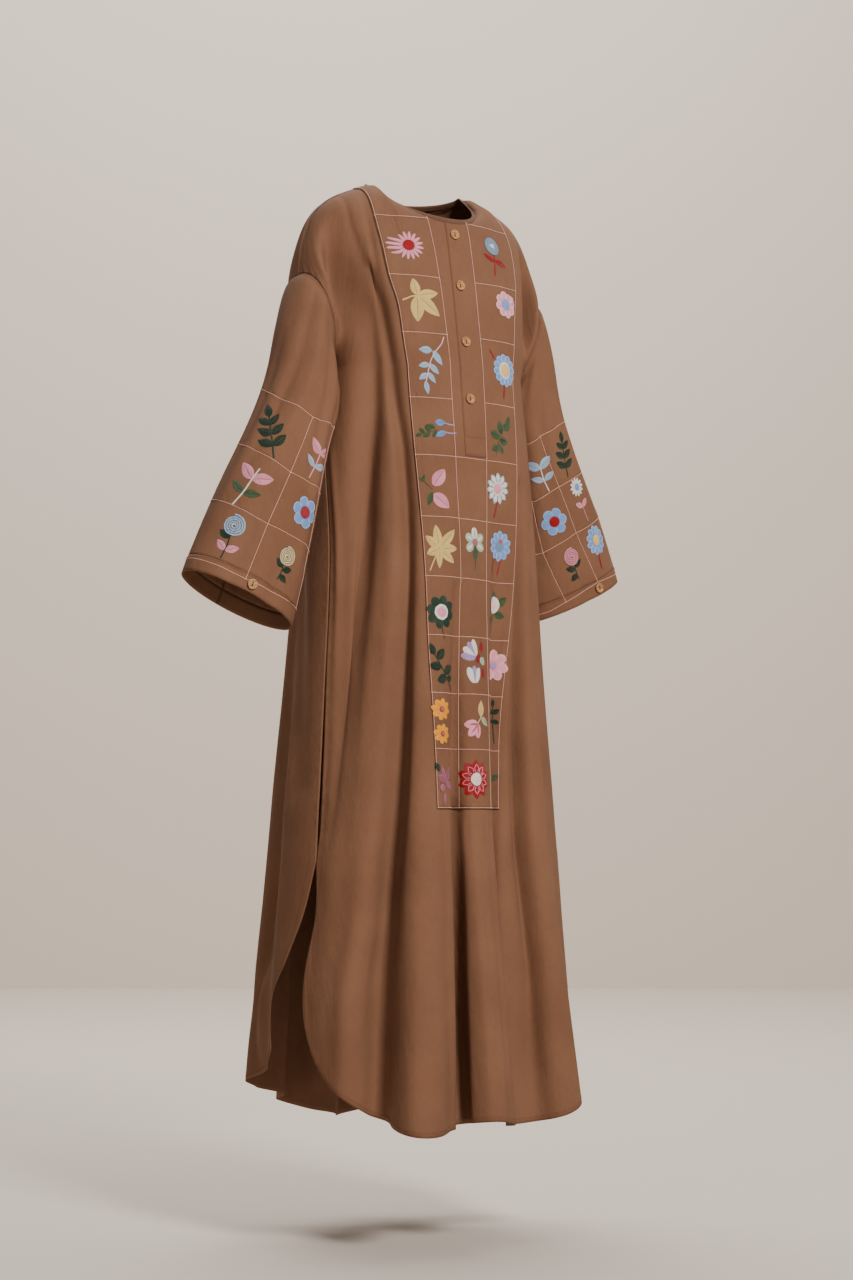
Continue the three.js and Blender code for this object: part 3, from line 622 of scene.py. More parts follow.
class Paint:
    """A material with its Principled shader, filled in from Python expressions."""

    def __init__(self, name):
        self.material = bpy.data.materials.new(name)
        self.material.use_nodes = True
        self.tree = self.material.node_tree
        self.shader = self.tree.nodes["Principled BSDF"]

    def made(self, kind, output, inputs=None, **settings):
        """The named output of a new node."""
        node = self.tree.nodes.new(kind)
        for word, value in settings.items():
            setattr(node, word, value)
        for word, value in (inputs or {}).items():
            self.plug(node.inputs[word], value)
        return Value(self, node.outputs[output])

    def plug(self, socket, value):
        if isinstance(value, Value):
            self.tree.links.new(value.socket, socket)
        else:
            socket.default_value = value

    def math(self, operation, *values):
        return self.made("ShaderNodeMath", "Value", dict(enumerate(values)), operation=operation)

    def uv(self):
        return self.made("ShaderNodeUVMap", "UV", uv_map="UVMap")

    def place(self):
        return self.made("ShaderNodeTexCoord", "Object")

    def part(self, vector, axis):
        return self.made("ShaderNodeSeparateXYZ", axis, {"Vector": vector})

    def noise(self, vector, scale, detail=2.0, stretch=None):
        """Noise from 0 to 1. stretch gives its scale on each axis."""
        if stretch:
            vector = self.made("ShaderNodeMapping", "Vector", {"Vector": vector, "Scale": stretch})
        return self.made("ShaderNodeTexNoise", "Fac", {"Vector": vector, "Scale": scale, "Detail": detail})

    def attribute(self, name):
        return self.made("ShaderNodeAttribute", "Fac", attribute_name=name)

    def mix_colour(self, factor, first, second):
        return self.made("ShaderNodeMix", 2, {"Factor": factor, 6: first, 7: second}, data_type="RGBA")

    def bump(self, height, distance):
        inputs = {"Height": height, "Distance": distance, "Strength": 1.0}
        self.set({"Normal": self.made("ShaderNodeBump", "Normal", inputs)})

    def set(self, values):
        for word, value in values.items():
            self.plug(self.shader.inputs[word], value)


def colour(red, green, blue):
    """A scene colour from the 0 to 255 values seen on a screen."""
    def linear(c):
        c /= 255
        return c / 12.92 if c <= 0.04045 else ((c + 0.055) / 1.055) ** 2.4
    return (linear(red), linear(green), linear(blue), 1.0)


def cloth_material(name, light, dark, has_seams=True):
    """Plain matte weave, with a pressed groove along its seams and the cloth puckered beside it."""
    paint = Paint(name)
    uv = paint.uv()
    across, down = paint.part(uv, "X"), paint.part(uv, "Y")
    cloud = paint.noise(paint.place(), 9.0, 4.0)
    slub_down = paint.noise(uv, 1.0, stretch=(1400, 70, 1))
    slub_across = paint.noise(uv, 1.0, stretch=(70, 1400, 1))
    tone = (cloud * 0.5 + slub_down * 0.25 + slub_across * 0.25).rise(0.33, 0.67)
    weave = across.wave(0.0011) * down.wave(0.0011) * 0.4 + slub_down * 0.9 + slub_across * 0.9
    height = weave * 0.12
    if has_seams:
        seam = paint.attribute("seam")
        pucker = paint.noise(uv, 1.0, stretch=(60, 60, 1))
        wrinkle = paint.noise(uv, 1.0, 3.0, stretch=(34, 13, 1))
        height = height + seam.rise(0.2, 2.6) + (seam.rise(2.0, 16.0) - 1) * (pucker - 0.5) * 2.6
        height = height + (wrinkle - 0.5) * 2.4
    paint.bump(height, 0.0009)
    paint.set({
        "Base Color": paint.mix_colour(tone, dark, light), "Roughness": 0.86,
        "Sheen Weight": 0.02, "Sheen Roughness": 0.45, "Specular IOR Level": 0.15,
    })
    return paint.material


def wood_material():
    paint = Paint("button wood")
    grain = paint.noise(paint.place(), 1.0, 5.0, stretch=(90, 90, 900))
    shade = paint.mix_colour(grain.rise(0.3, 0.7), colour(132, 86, 46), colour(196, 148, 94))
    paint.bump(grain, 0.0002)
    paint.set({"Base Color": shade, "Roughness": 0.42, "Coat Weight": 0.15})
    return paint.material


def thread_material(name, shade, spread=0.16):
    """Shiny embroidery thread, laid side by side across the stitches' u direction."""
    paint = Paint(name)
    uv = paint.uv()
    strand = paint.noise(uv, 1.0, stretch=(1600, 60, 1))
    dark = tuple(c * (1 - 2.2 * spread) for c in shade[:3]) + (1.0,)
    light = tuple(min(1.0, c * (1 + spread)) for c in shade[:3]) + (1.0,)
    paint.bump(paint.part(uv, "X").wave(0.0009) * 0.6 + strand * 0.5, 0.0004)
    paint.set({
        "Base Color": paint.mix_colour(strand.rise(0.25, 0.6), dark, light), "Roughness": 0.5,
        "Sheen Weight": 0.03, "Specular IOR Level": 0.35,
    })
    return paint.material


def plain_material(name, shade, roughness):
    paint = Paint(name)
    paint.set({"Base Color": shade, "Roughness": roughness})
    return paint.material


# STITCHES

class Tree:
    """A Geometry Nodes tree, its named inputs and its nodes, built in the order they are used."""

    def __init__(self, name):
        self.group = bpy.data.node_groups.new(name, "GeometryNodeTree")
        self.names = {}
        self.socket("Geometry", "NodeSocketGeometry")
        self.group.interface.new_socket("Geometry", in_out="OUTPUT", socket_type="NodeSocketGeometry")
        self.start = self.group.nodes.new("NodeGroupInput")
        self.end = self.group.nodes.new("NodeGroupOutput")

    def socket(self, name, kind):
        item = self.group.interface.new_socket(name, in_out="INPUT", socket_type=kind)
        self.names[name] = item.identifier

    def node(self, kind, links=None, **settings):
        node = self.group.nodes.new(kind)
        for word, value in settings.items():
            setattr(node, word, value)
        for word, source in (links or {}).items():
            socket = node.inputs[word]
            if isinstance(source, bpy.types.NodeSocket):
                self.group.links.new(source, socket)
            else:
                socket.default_value = source
        return node

    def given(self, name):
        return next(s for s in self.start.outputs if s.identifier == self.names[name])


def stitch_tree():
    """Lays one stitch after another along paths whose points know which way is up."""
    tree = Tree("stitches along a path")
    tree.socket("Pitch", "NodeSocketFloat")
    tree.socket("Size", "NodeSocketVector")
    tree.socket("Thread", "NodeSocketMaterial")
    curve = tree.node("GeometryNodeMeshToCurve", {"Mesh": tree.given("Geometry")})
    spaced = tree.node("GeometryNodeResampleCurve", {"Curve": curve.outputs["Curve"]}, mode="LENGTH")
    tree.group.links.new(tree.given("Pitch"), spaced.inputs["Length"])
    up = tree.node("GeometryNodeInputNamedAttribute", {"Name": "up"}, data_type="FLOAT_VECTOR")
    ahead = tree.node("GeometryNodeInputTangent")
    turned = tree.node("FunctionNodeAxesToRotation", {
        "Primary Axis": up.outputs["Attribute"], "Secondary Axis": ahead.outputs["Tangent"],
    }, primary_axis="Z", secondary_axis="X")
    bead = tree.node("GeometryNodeMeshUVSphere", {"Segments": 6, "Rings": 4, "Radius": 0.5})
    sized = tree.node("GeometryNodeTransform", {
        "Geometry": bead.outputs["Mesh"], "Scale": tree.given("Size"),
    })
    placed = tree.node("GeometryNodeInstanceOnPoints", {
        "Points": spaced.outputs["Curve"], "Instance": sized.outputs["Geometry"],
        "Rotation": turned.outputs["Rotation"],
    })
    real = tree.node("GeometryNodeRealizeInstances", {"Geometry": placed.outputs["Instances"]})
    round_look = tree.node("GeometryNodeSetShadeSmooth", {"Geometry": real.outputs["Geometry"]})
    painted = tree.node("GeometryNodeSetMaterial", {
        "Geometry": round_look.outputs["Geometry"], "Material": tree.given("Thread"),
    })
    tree.group.links.new(painted.outputs["Geometry"], tree.end.inputs["Geometry"])
    return tree


STITCHES = stitch_tree()


def stitched_lines(name, paths, pitch, size, thread):
    """Stitches in millimetres along paths, each a pair of points and normals."""
    points, normals, edges = [], [], []
    for path, up in paths:
        first = len(points)
        points += path.tolist()
        normals += up.tolist()
        edges += [(first + k, first + k + 1) for k in range(len(path) - 1)]
    mesh = bpy.data.meshes.new(name + "_path")
    mesh.from_pydata((np.array(points) * 0.001).tolist(), edges, [])
    layer = mesh.attributes.new("up", "FLOAT_VECTOR", "POINT")
    layer.data.foreach_set("vector", np.array(normals, np.float32).ravel())
    base = bpy.data.objects.new(name + "_path", mesh)
    bpy.context.scene.collection.objects.link(base)
    modifier = base.modifiers.new("stitches", "NODES")
    modifier.node_group = STITCHES.group
    modifier[STITCHES.names["Pitch"]] = pitch * 0.001
    modifier[STITCHES.names["Size"]] = tuple(s * 0.001 for s in size)
    modifier[STITCHES.names["Thread"]] = thread
    depsgraph = bpy.context.evaluated_depsgraph_get()
    made = bpy.data.meshes.new_from_object(base.evaluated_get(depsgraph))
    bpy.data.objects.remove(base)
    made.name = name
    obj = bpy.data.objects.new(name, made)
    bpy.context.scene.collection.objects.link(obj)
    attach(obj, "root")
    return obj


# EMBROIDERY

THREADS = {
    "pink": (226, 146, 166),
    "pale pink": (240, 196, 202),
    "rose": (172, 76, 96),
    "red": (146, 4, 14),
    "yellow": (222, 190, 116),
    "orange": (228, 148, 24),
    "cream": (216, 200, 156),
    "white": (222, 216, 208),
    "sky": (108, 146, 206),
    "pale blue": (160, 186, 214),
    "grey blue": (108, 136, 158),
    "green": (22, 48, 32),
    "soft green": (62, 84, 54),
    "mist": (168, 176, 154),
    "mauve": (156, 90, 110),
    "lilac": (160, 138, 184),
}

# Half a millimetre of u or v, and how a point of the chest's tangent plane is found on the cloth
CLOTH_STEP = 0.5
PLANE_TRIES = 4
PLANE_EASE = 0.85


def along_angle(at, angle, along, aside):
    """Points that lie along an angle from a point, and aside of it."""
    cos, sin = math.cos(math.radians(angle)), math.sin(math.radians(angle))
    return np.stack([at[0] + along * cos - aside * sin, at[1] + along * sin + aside * cos], -1)


class Motif:
    """Satin-stitched shapes round one point of a cloth, x across it and y up it, in millimetres."""

    def __init__(self, cloth, u, v, raised, size=1.0, turn=0.0, wide=1.0):
        self.cloth = cloth
        self.raised = raised
        self.size = size
        self.turn = math.radians(turn)
        self.wide = wide
        row, column = cloth.place_of(np.array([u, u + CLOTH_STEP, u]), np.array([v, v, v + CLOTH_STEP]))
        spots, _ = cloth.read(row, column)
        across, upward = spots[1] - spots[0], spots[2] - spots[0]
        right = across / np.linalg.norm(across)
        up = upward - right * (upward @ right)
        up /= np.linalg.norm(up)
        self.middle, self.right, self.up = spots[0], right, up
        steps = np.array([[across @ right, upward @ right], [across @ up, upward @ up]])
        self.turned = np.linalg.inv(steps / CLOTH_STEP)
        self.u, self.v, self.on_chest = u, v, not cloth.closed_round and v > UNDERARM_Z
        slant = (across @ upward) / (np.linalg.norm(across) * np.linalg.norm(upward))
        self.slant = slant / math.sqrt(1 - slant ** 2)
        self.row, self.column = row[0], column[0]
        self.columns = np.arange(cloth.points.shape[1])
        same_row = np.full(len(self.columns), self.row)
        along, _ = cloth.read(same_row, self.columns.astype(float))
        self.reach = lengths_along(along[None], 1)[0]
        self.reach -= np.interp(self.column, self.columns, self.reach)
        self.drop = lengths_along(cloth.points, 0)
        self.patches = []

    def place(self, xy):
        """Row and column at distances along the cloth, or on the chest across its tangent plane."""
        if self.on_chest:
            offset = xy @ self.turned.T
            for _ in range(PLANE_TRIES):
                row, column = self.cloth.place_of(self.u + offset[..., 0], self.v + offset[..., 1])
                reached = self.cloth.read(row, column)[0] - self.middle
                reached = np.stack([reached @ self.right, reached @ self.up], -1)
                offset = offset + (xy - reached) @ self.turned.T * PLANE_EASE
            return self.cloth.place_of(self.u + offset[..., 0], self.v + offset[..., 1])
        column = np.interp(xy[..., 0] - xy[..., 1] * self.slant, self.reach, self.columns)
        row = np.empty(column.shape)
        rows = np.arange(len(self.drop))
        for at in np.ndindex(column.shape):
            j = min(int(column[at]), len(self.columns) - 2)
            part = column[at] - j
            fall = self.drop[:, j] * (1 - part) + self.drop[:, j + 1] * part
            row[at] = np.interp(np.interp(self.row, rows, fall) - xy[at][1], fall, rows)
        return row, column

    def patch(self, xy, height, thread, lean=0.0):
        """A patch of threads: a grid of points, their heights and how far its threads lean."""
        xy = np.asarray(xy, float) * self.size
        cos, sin = math.cos(self.turn), math.sin(self.turn)
        aside, up = xy[..., 0] * cos - xy[..., 1] * sin, xy[..., 0] * sin + xy[..., 1] * cos
        row, column = self.place(np.stack([aside * self.wide, up], -1))
        points, _ = self.cloth.read(row, column, self.raised + np.asarray(height))
        down, across = lengths_along(points, 0), lengths_along(points, 1)
        uv = np.stack([across - across[:, -1:] / 2 + down * lean, down], -1) * 0.001
        self.patches.append((points, uv, thread))
        return self

    def petal(self, at, angle, length, width, thread, tip=1.0, height=0.9, start=0.0, edge=None):
        """A petal. tip below 1 is blunt and above 1 pointed. edge is the thread of its outline."""
        t = np.linspace(0.02, 0.99, 8)[:, None]
        s = np.linspace(-1, 1, 6)[None, :]
        swell = np.sin(math.pi * t ** 0.85) ** (0.55 * tip) * (1 - 0.25 * (tip - 1) * t)
        xy = along_angle(at, angle, start + length * t + 0 * s, s * width / 2 * swell)
        self.patch(xy, height * np.sqrt(1 - 0.9 * s ** 2) * np.sin(math.pi * (0.1 + 0.8 * t)) ** 0.5, thread)
        if edge:
            self.stem(np.concatenate([xy[1:, 0], xy[-2:0:-1, -1]]), edge, 1.3, 1.2, points_a_step=1)
        return self

    def leaf(self, at, angle, length, width, thread, tip=1.3, height=0.8):
        """A leaf of two halves whose threads lean away from its middle line."""
        t = np.linspace(0.02, 0.99, 8)[:, None]
        swell = np.sin(math.pi * t ** 0.85) ** (0.7 * tip)
        thick = np.sin(math.pi * (0.1 + 0.8 * t)) ** 0.5
        for half in (-1, 1):
            s = np.linspace(0.04, 1, 4)[None, :] * half
            xy = along_angle(at, angle, length * t + 0 * s, s * width / 2 * swell)
            rounded = np.sin(math.pi * (0.15 + 0.75 * np.abs(s)))
            self.patch(xy, height * rounded * thick, thread, lean=half * 1.4)
        return self

    def leaves(self, at, rows, thread, tip=1.3):
        """Leaves from one point, each an angle, a length and a width."""
        for angle, length, width in rows:
            self.leaf(at, angle, length, width, thread, tip)
        return self

    def disc(self, at, radius, thread, height=1.5):
        t = np.linspace(-1, 1, 9)[:, None]
        s = np.linspace(-1, 1, 9)[None, :]
        x, y = s * np.sqrt(1 - t ** 2 / 2), t * np.sqrt(1 - s ** 2 / 2)
        xy = np.stack([at[0] + radius * x, at[1] + radius * y], -1)
        return self.patch(xy, height * (1 - 0.45 * (x ** 2 + y ** 2) ** 2), thread)

    def ribbon(self, path, width, base, height, thread):
        """One rounded line of stem stitch along the points of a path."""
        ahead = np.gradient(path, axis=0)
        ahead /= np.linalg.norm(ahead, axis=1, keepdims=True) + 1e-9
        aside = np.stack([-ahead[:, 1], ahead[:, 0]], -1)
        s = np.linspace(-1, 1, 4)
        xy = path[:, None] + aside[:, None] * (s * width / 2)[None, :, None]
        rounded = np.sqrt(1 - 0.85 * s ** 2)[None, :] + 0 * xy[..., 0]
        return self.patch(xy, base + height * rounded, thread, lean=0.6)

    def stem(self, path, thread, width=1.6, height=0.7, points_a_step=5):
        """A narrow line along a few points, smoothed where there are more than two."""
        path = np.asarray(path, float)
        steps = np.arange(len(path))
        at = np.linspace(0, steps[-1], max(8, points_a_step * len(path)))
        bend = np.stack([np.interp(at, steps, path[:, k]) for k in (0, 1)], -1)
        if len(path) > 2:
            bend[1:-1] = (bend[:-2] + 2 * bend[1:-1] + bend[2:]) / 4
        return self.ribbon(bend, width, 0, height, thread)

    def spiral(self, at, radius, turns, thread, line=1.9):
        angle = np.linspace(0, 2 * math.pi * turns, int(26 * turns))
        reach = radius * (0.08 + 0.92 * angle / angle[-1])
        path = np.stack([at[0] + reach * np.cos(angle), at[1] + reach * np.sin(angle)], -1)
        return self.ribbon(path, line, 0.5, 0.7, thread)

    def ring_of(self, count, inner, length, width, thread, tip=1.0, start=90, edge=None):
        """Petals all round, from an inner radius."""
        for k in range(count):
            self.petal((0, 0), start + 360 * k / count, length, width, thread, tip, start=inner, edge=edge)
        return self

    def sprig(self, stem, leaves, thread, stem_thread=None, width=1.6, tip=1.2):
        """A stem with leaves, each an x, a y, an angle, a length and a width."""
        self.stem(stem, stem_thread or thread, width)
        for x, y, angle, length, breadth in leaves:
            self.leaf((x, y), angle, length, breadth, thread, tip)
        return self


def embroidered(name, motifs):
    """One object with every patch of some motifs, and one material slot for each thread used."""
    used = [word for word in THREADS if any(patch[2] == word for m in motifs for patch in m.patches)]
    points, uvs, faces, slots = [], [], [], []
    for motif in motifs:
        outside = motif.cloth.read(np.array([motif.row]), np.array([motif.column]))[1][0]
        for grid, uv, thread in motif.patches:
            rows, columns = grid.shape[:2]
            first = sum(len(p) for p in points)
            i, j = np.meshgrid(np.arange(rows - 1), np.arange(columns - 1), indexing="ij")
            a = first + i * columns + j
            quads = np.stack([a, a + 1, a + columns + 1, a + columns], -1).reshape(-1, 4)
            flat = grid.reshape(-1, 3)
            k = quads[len(quads) // 2] - first
            turned = np.cross(flat[k[1]] - flat[k[0]], flat[k[3]] - flat[k[0]])
            if turned @ outside < 0:
                quads = quads[:, ::-1]
            points.append(flat)
            uvs.append(uv.reshape(-1, 2))
            faces += quads.tolist()
            slots += [used.index(thread)] * len(quads)
    obj = finish_mesh(name, np.concatenate(points), faces, np.concatenate(uvs))
    for word in used:
        obj.data.materials.append(thread_look(word))
    obj.data.polygons.foreach_set("material_index", slots)
    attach(obj, "root")


def thread_look(word):
    name = "thread " + word
    return bpy.data.materials.get(name) or thread_material(name, colour(*THREADS[word]))


# THE DRESS

# Creases, given one by one: how far out or in, half width, and points of u and v. Those of the skirt run
# past the hem. The gathers hang from the panel's foot.
GATHERS = [
    (-1.5, 4.5, [(u, -938), (u * 1.03, -938 - reach)]) for u, reach in (
        (-84, 60), (-70, 42), (-56, 70), (-40, 48), (-24, 64), (-8, 40), (9, 66), (26, 44), (44, 60),
        (62, 40), (80, 58),
    )
]
FRONT_CREASES = [
    (-22, 28, [
        (-140, -110), (-160, -200), (-176, -342), (-214, -490), (-238, -636), (-257, -780), (-278, -960),
    ]),
    (-20, 14, [
        (-136, -150), (-131, -240), (-128, -330), (-120, -410), (-122, -500), (-131, -600), (-150, -780),
        (-164, -923), (-184, -1065), (-192, -1206), (-204, -1560),
    ]),
    (6, 15, [(-160, -560), (-184, -780), (-200, -923), (-220, -1065), (-232, -1206), (-244, -1560)]),
    (-12, 9, [(-42, -620), (-41, -790), (-43, -923), (-47, -1066), (-54, -1208), (-64, -1560)]),
    (-19, 10, [(-44, -930), (-47, -1066), (-54, -1208), (-64, -1560)]),
    (8, 11, [(-64, -900), (-69, -1066), (-77, -1208), (-88, -1560)]),
    (-28, 14, [(120, -460), (130, -700), (130, -850), (128, -1000), (136, -1150), (150, -1560)]),
    (9, 12, [(100, -880), (98, -1066), (106, -1208), (116, -1560)]),
    (-4, 9, [(18, -990), (24, -1150), (28, -1560)]),
    (3, 9, [(-16, -1000), (-12, -1150), (-10, -1560)]),
    (4, 8, [(-278, -420), (-276, -640), (-280, -840), (-284, -980)]),
    (-10, 14, [(168, -240), (190, -420), (204, -700), (214, -900)]),
    (-12, 14, [(206, -620), (214, -900), (224, -1560)]),
    (-2.5, 8, [(-108, -30), (-116, -110), (-120, -170)]),
    (-2.2, 7, [(-150, -20), (-152, -80), (-150, -140)]),
    (1.6, 9, [(-60, -440), (-52, -520), (-56, -640)]),
    (-1.8, 8, [(-34, -430), (-28, -560), (-32, -690)]),
    (-1.6, 7, [(34, -400), (38, -520), (34, -650)]),
] + GATHERS
BACK_CREASES = [
    (-14, 22, [(-140, -120), (-170, -300), (-205, -480), (-232, -640), (-262, -900)]),
    (-14, 22, [(140, -120), (170, -300), (205, -480), (232, -640), (262, -900)]),
    (-13, 15, [(-118, -520), (-134, -760), (-158, -1000), (-188, -1560)]),
    (-13, 13, [(-42, -640), (-46, -900), (-56, -1560)]),
    (-13, 13, [(48, -600), (54, -900), (62, -1560)]),
    (-13, 15, [(122, -540), (140, -800), (164, -1050), (186, -1560)]),
    (6, 14, [(-80, -760), (-92, -1000), (-104, -1560)]),
    (6, 14, [(4, -800), (4, -1560)]),
    (6, 14, [(86, -760), (96, -1000), (110, -1560)]),
    (-11, 14, [(-206, -620), (-216, -900), (-228, -1560)]),
    (-11, 14, [(208, -620), (218, -900), (230, -1560)]),
]
RIGHT_SLEEVE_CREASES = [
    (-4, 9, [(96, -8), (100, -90), (108, -190), (114, -290)]),
    (3.5, 9, [(76, -10), (74, -90), (64, -190), (58, -300)]),
    (-4, 9, [(54, -10), (48, -100), (36, -200), (30, -320)]),
    (-5, 11, [(132, -20), (140, -120), (146, -240), (148, -380)]),
    (3, 9, [(118, -150), (126, -260), (130, -400)]),
    (-3.5, 8, [(66, -300), (62, -400), (60, -520)]),
    (-3.5, 8, [(104, -360), (102, -430), (100, -520)]),
    (-4, 10, [(204, -40), (214, -160), (220, -320)]),
    (-4, 10, [(10, -80), (2, -200), (-2, -360)]),
]
LEFT_SLEEVE_CREASES = [
    (-4, 9, [(92, -8), (98, -90), (108, -190), (114, -290)]),
    (3.5, 9, [(70, -10), (66, -90), (58, -190), (52, -300)]),
    (-4, 9, [(48, -10), (42, -100), (30, -200), (26, -320)]),
    (-5, 11, [(126, -20), (136, -120), (144, -240), (146, -380)]),
    (-3.5, 8, [(92, -320), (94, -400), (96, -520)]),
    (-4, 10, [(204, -40), (214, -160), (220, -320)]),
    (-4, 10, [(0, -80), (-6, -200), (-8, -360)]),
]

# Where the pink lines of stitches run, in u and v
BODY_LINES_Z = [-62, -155, -241, -338, -424, -515, -602, -687, -770, -850, -934]
STAND_LINE_LEFT = [(-41, -20), (-40, -84), (-34, -180), (-30, -280), (-33, -473), (-34, -934)]
STAND_LINE_RIGHT = 27.4
SLEEVE_RINGS_V = {
    "right": [
        [(-90, -150), (-25.5, -152), (30, -168), (90, -177), (157, -157), (210, -152), (267, -150)],
        [(-90, -240), (-22.5, -245), (83.5, -273), (160, -266), (215, -248), (267, -240)],
        [(-90, -342), (-16.5, -347), (77, -362), (160, -354), (267, -342)],
        [(-90, -446), (-3, -450), (73, -454), (160, -442), (267, -446)],
    ],
    "left": [
        [(-90, -156), (25, -156), (64, -157), (109, -164), (128, -169), (200, -162), (267, -156)],
        [(-90, -250), (50, -252), (99, -259), (133, -269), (200, -258), (267, -250)],
        [(-90, -346), (45, -344), (90, -348), (136, -359), (200, -352), (267, -346)],
        [(-90, -456), (25.5, -457), (79, -447), (121, -454), (141, -459), (267, -456)],
    ],
}
SLEEVE_POSTS = {
    "right": [
        [(90, -177), (83.5, -273), (77, -362), (73, -454)],
        [(153, -158), (153, -268), (152, -356), (151, -443)],
        [(228, -151), (226, -446)], [(-38, -151), (-38, -448)],
    ],
    "left": [
        [(109, -164), (99, -259), (90, -348), (79, -447)],
        [(150, -168), (140, -268), (136, -359), (121, -454)],
        [(38, -156), (28, -252), (22, -345), (18, -457)],
        [(212, -160), (208, -455)], [(-50, -156), (-50, -456)],
    ],
}
# Millimetres of cloth to a degree of turn
SLEEVE_DEGREE = 1.4
# Rings of a sleeve's cloth with its cuff
WHOLE_SLEEVE = SLEEVE_RINGS + 8

front = body_cloth(True)
back = body_cloth(False)
share_normals(front, back)
front.lay_creases(FRONT_CREASES)
back.lay_creases(BACK_CREASES)
share_normals(front, back)

sleeves = {}
for word, side, creases in (("right", -1, RIGHT_SLEEVE_CREASES), ("left", 1, LEFT_SLEEVE_CREASES)):
    sleeves[word] = sleeve_cloth(side, 0, 1, WHOLE_SLEEVE)
    sleeves[word].lay_creases(creases)

LAID_ON = 0.5
PANEL_CLOTH = 0.8
STAND_RAISED = 1.45
STAND_CLOTH = 0.6
CUFF_ROW = round(CUFF_START * (WHOLE_SLEEVE - 1))
CUFF_RAISED = 0.3
CUFF_CLOTH = CLOTH + 0.6
# A seam further off than this doesn't mark the cloth
SEAM_REACH = 60.0


def body_seams(cloth):
    """Millimetres of cloth from each point to the nearest seam."""
    down = lengths_along(cloth.points, 0)
    across = lengths_along(cloth.points, 1)
    side = np.minimum(across, across[:, -1:] - across)
    side[SLIT_ROW + 1:] = SEAM_REACH
    top = np.where(LENGTH[None, :] >= NECK_HALF_WIDTH, down, SEAM_REACH)
    return np.minimum(np.minimum(side, top), SEAM_REACH)


def panel_seams():
    """The same to the nearest line of stitches of the panel."""
    left = np.interp(-front.v, [-v for _, v in STAND_LINE_LEFT], [u for u, _ in STAND_LINE_LEFT])
    near = np.minimum(np.abs(front.u - left), np.abs(front.u - STAND_LINE_RIGHT))
    near = np.minimum(near, np.abs(PANEL_HALF_WIDTH - np.abs(front.u)))
    for z in BODY_LINES_Z:
        near = np.minimum(near, np.abs(front.v - z))
    return near


def sleeve_seams(word):
    """The same for a sleeve: its top edge and its lines of stitches."""
    cloth = sleeves[word]
    near = lengths_along(cloth.points, 0)
    for ring in SLEEVE_RINGS_V[word]:
        turns, heights = zip(*ring)
        near = np.minimum(near, np.abs(cloth.v - np.interp(cloth.u, turns, heights)))
    for post in SLEEVE_POSTS[word]:
        turns, heights = zip(*post)
        aside = np.abs(cloth.u - np.interp(-cloth.v, [-v for v in heights], turns)) * SLEEVE_DEGREE
        above = np.maximum(0, cloth.v - heights[0])
        near = np.minimum(near, aside + above)
    return near


LOOKS = {
    "cloth": cloth_material("brown cloth", colour(126, 90, 68), colour(112, 78, 58)),
    "panel": cloth_material("panel cloth", colour(125, 89, 67), colour(110, 76, 57)),
    "binding": cloth_material("binding cloth", colour(102, 71, 53), colour(90, 61, 45), has_seams=False),
    "button": wood_material(),
}
# Slots of the pieces that aren't plain cloth
SLOTS = {"front_panel": "panel", "button_stand": "panel", "neck_binding": "binding"}


def nearest(values, value):
    return int(np.argmin(np.abs(values - value)))


on_panel = np.where((LENGTH <= PANEL_HALF_WIDTH) & (SHARE == 0))[0]
panel_columns = slice(on_panel[0], on_panel[-1] + 1)
panel_rows = slice(0, YOKE_ROWS + nearest(MIDDLE_Z, PANEL_FOOT_Z) + 1)
stand_columns = slice(nearest(BODY_U, STAND[0]), nearest(BODY_U, STAND[1]) + 1)
stand_rows = slice(0, YOKE_ROWS + nearest(MIDDLE_Z, STAND[2]) + 1)
sleeve_rows = slice(0, CUFF_ROW + 1)
cuff_rows = slice(CUFF_ROW, None)
far_off = np.full(front.points.shape[:2], SEAM_REACH)

pieces = {
    "front": wall_object("cloth_front", front, body_seams(front), 0, CLOTH),
    "back": wall_object("cloth_back", back, body_seams(back), 0, CLOTH),
    "front_panel": wall_object(
        "stitched_panel", front, panel_seams(), LAID_ON + PANEL_CLOTH, PANEL_CLOTH, panel_rows,
        panel_columns),
    "button_stand": wall_object(
        "stand_cloth", front, far_off, STAND_RAISED + STAND_CLOTH, STAND_CLOTH, stand_rows, stand_columns),
}
for word, cloth in sleeves.items():
    seam = sleeve_seams(word)
    far = np.full(seam.shape, SEAM_REACH)
    pieces["sleeve_" + word] = wall_object("cloth_sleeve_" + word, cloth, seam, 0, CLOTH, sleeve_rows)
    pieces["cuff_" + word] = wall_object(
        "cloth_cuff_" + word, cloth, far, CUFF_RAISED, CUFF_CLOTH, cuff_rows)

BINDING = dict(width=9.5, tape=10.5, gap=-2.6, raised=2.2, inside=1.4, steps=6)
BINDING_LEAN = (0.6, 0.35, 0.3)


def unit(vectors):
    return vectors / np.linalg.norm(vectors, axis=-1, keepdims=True)


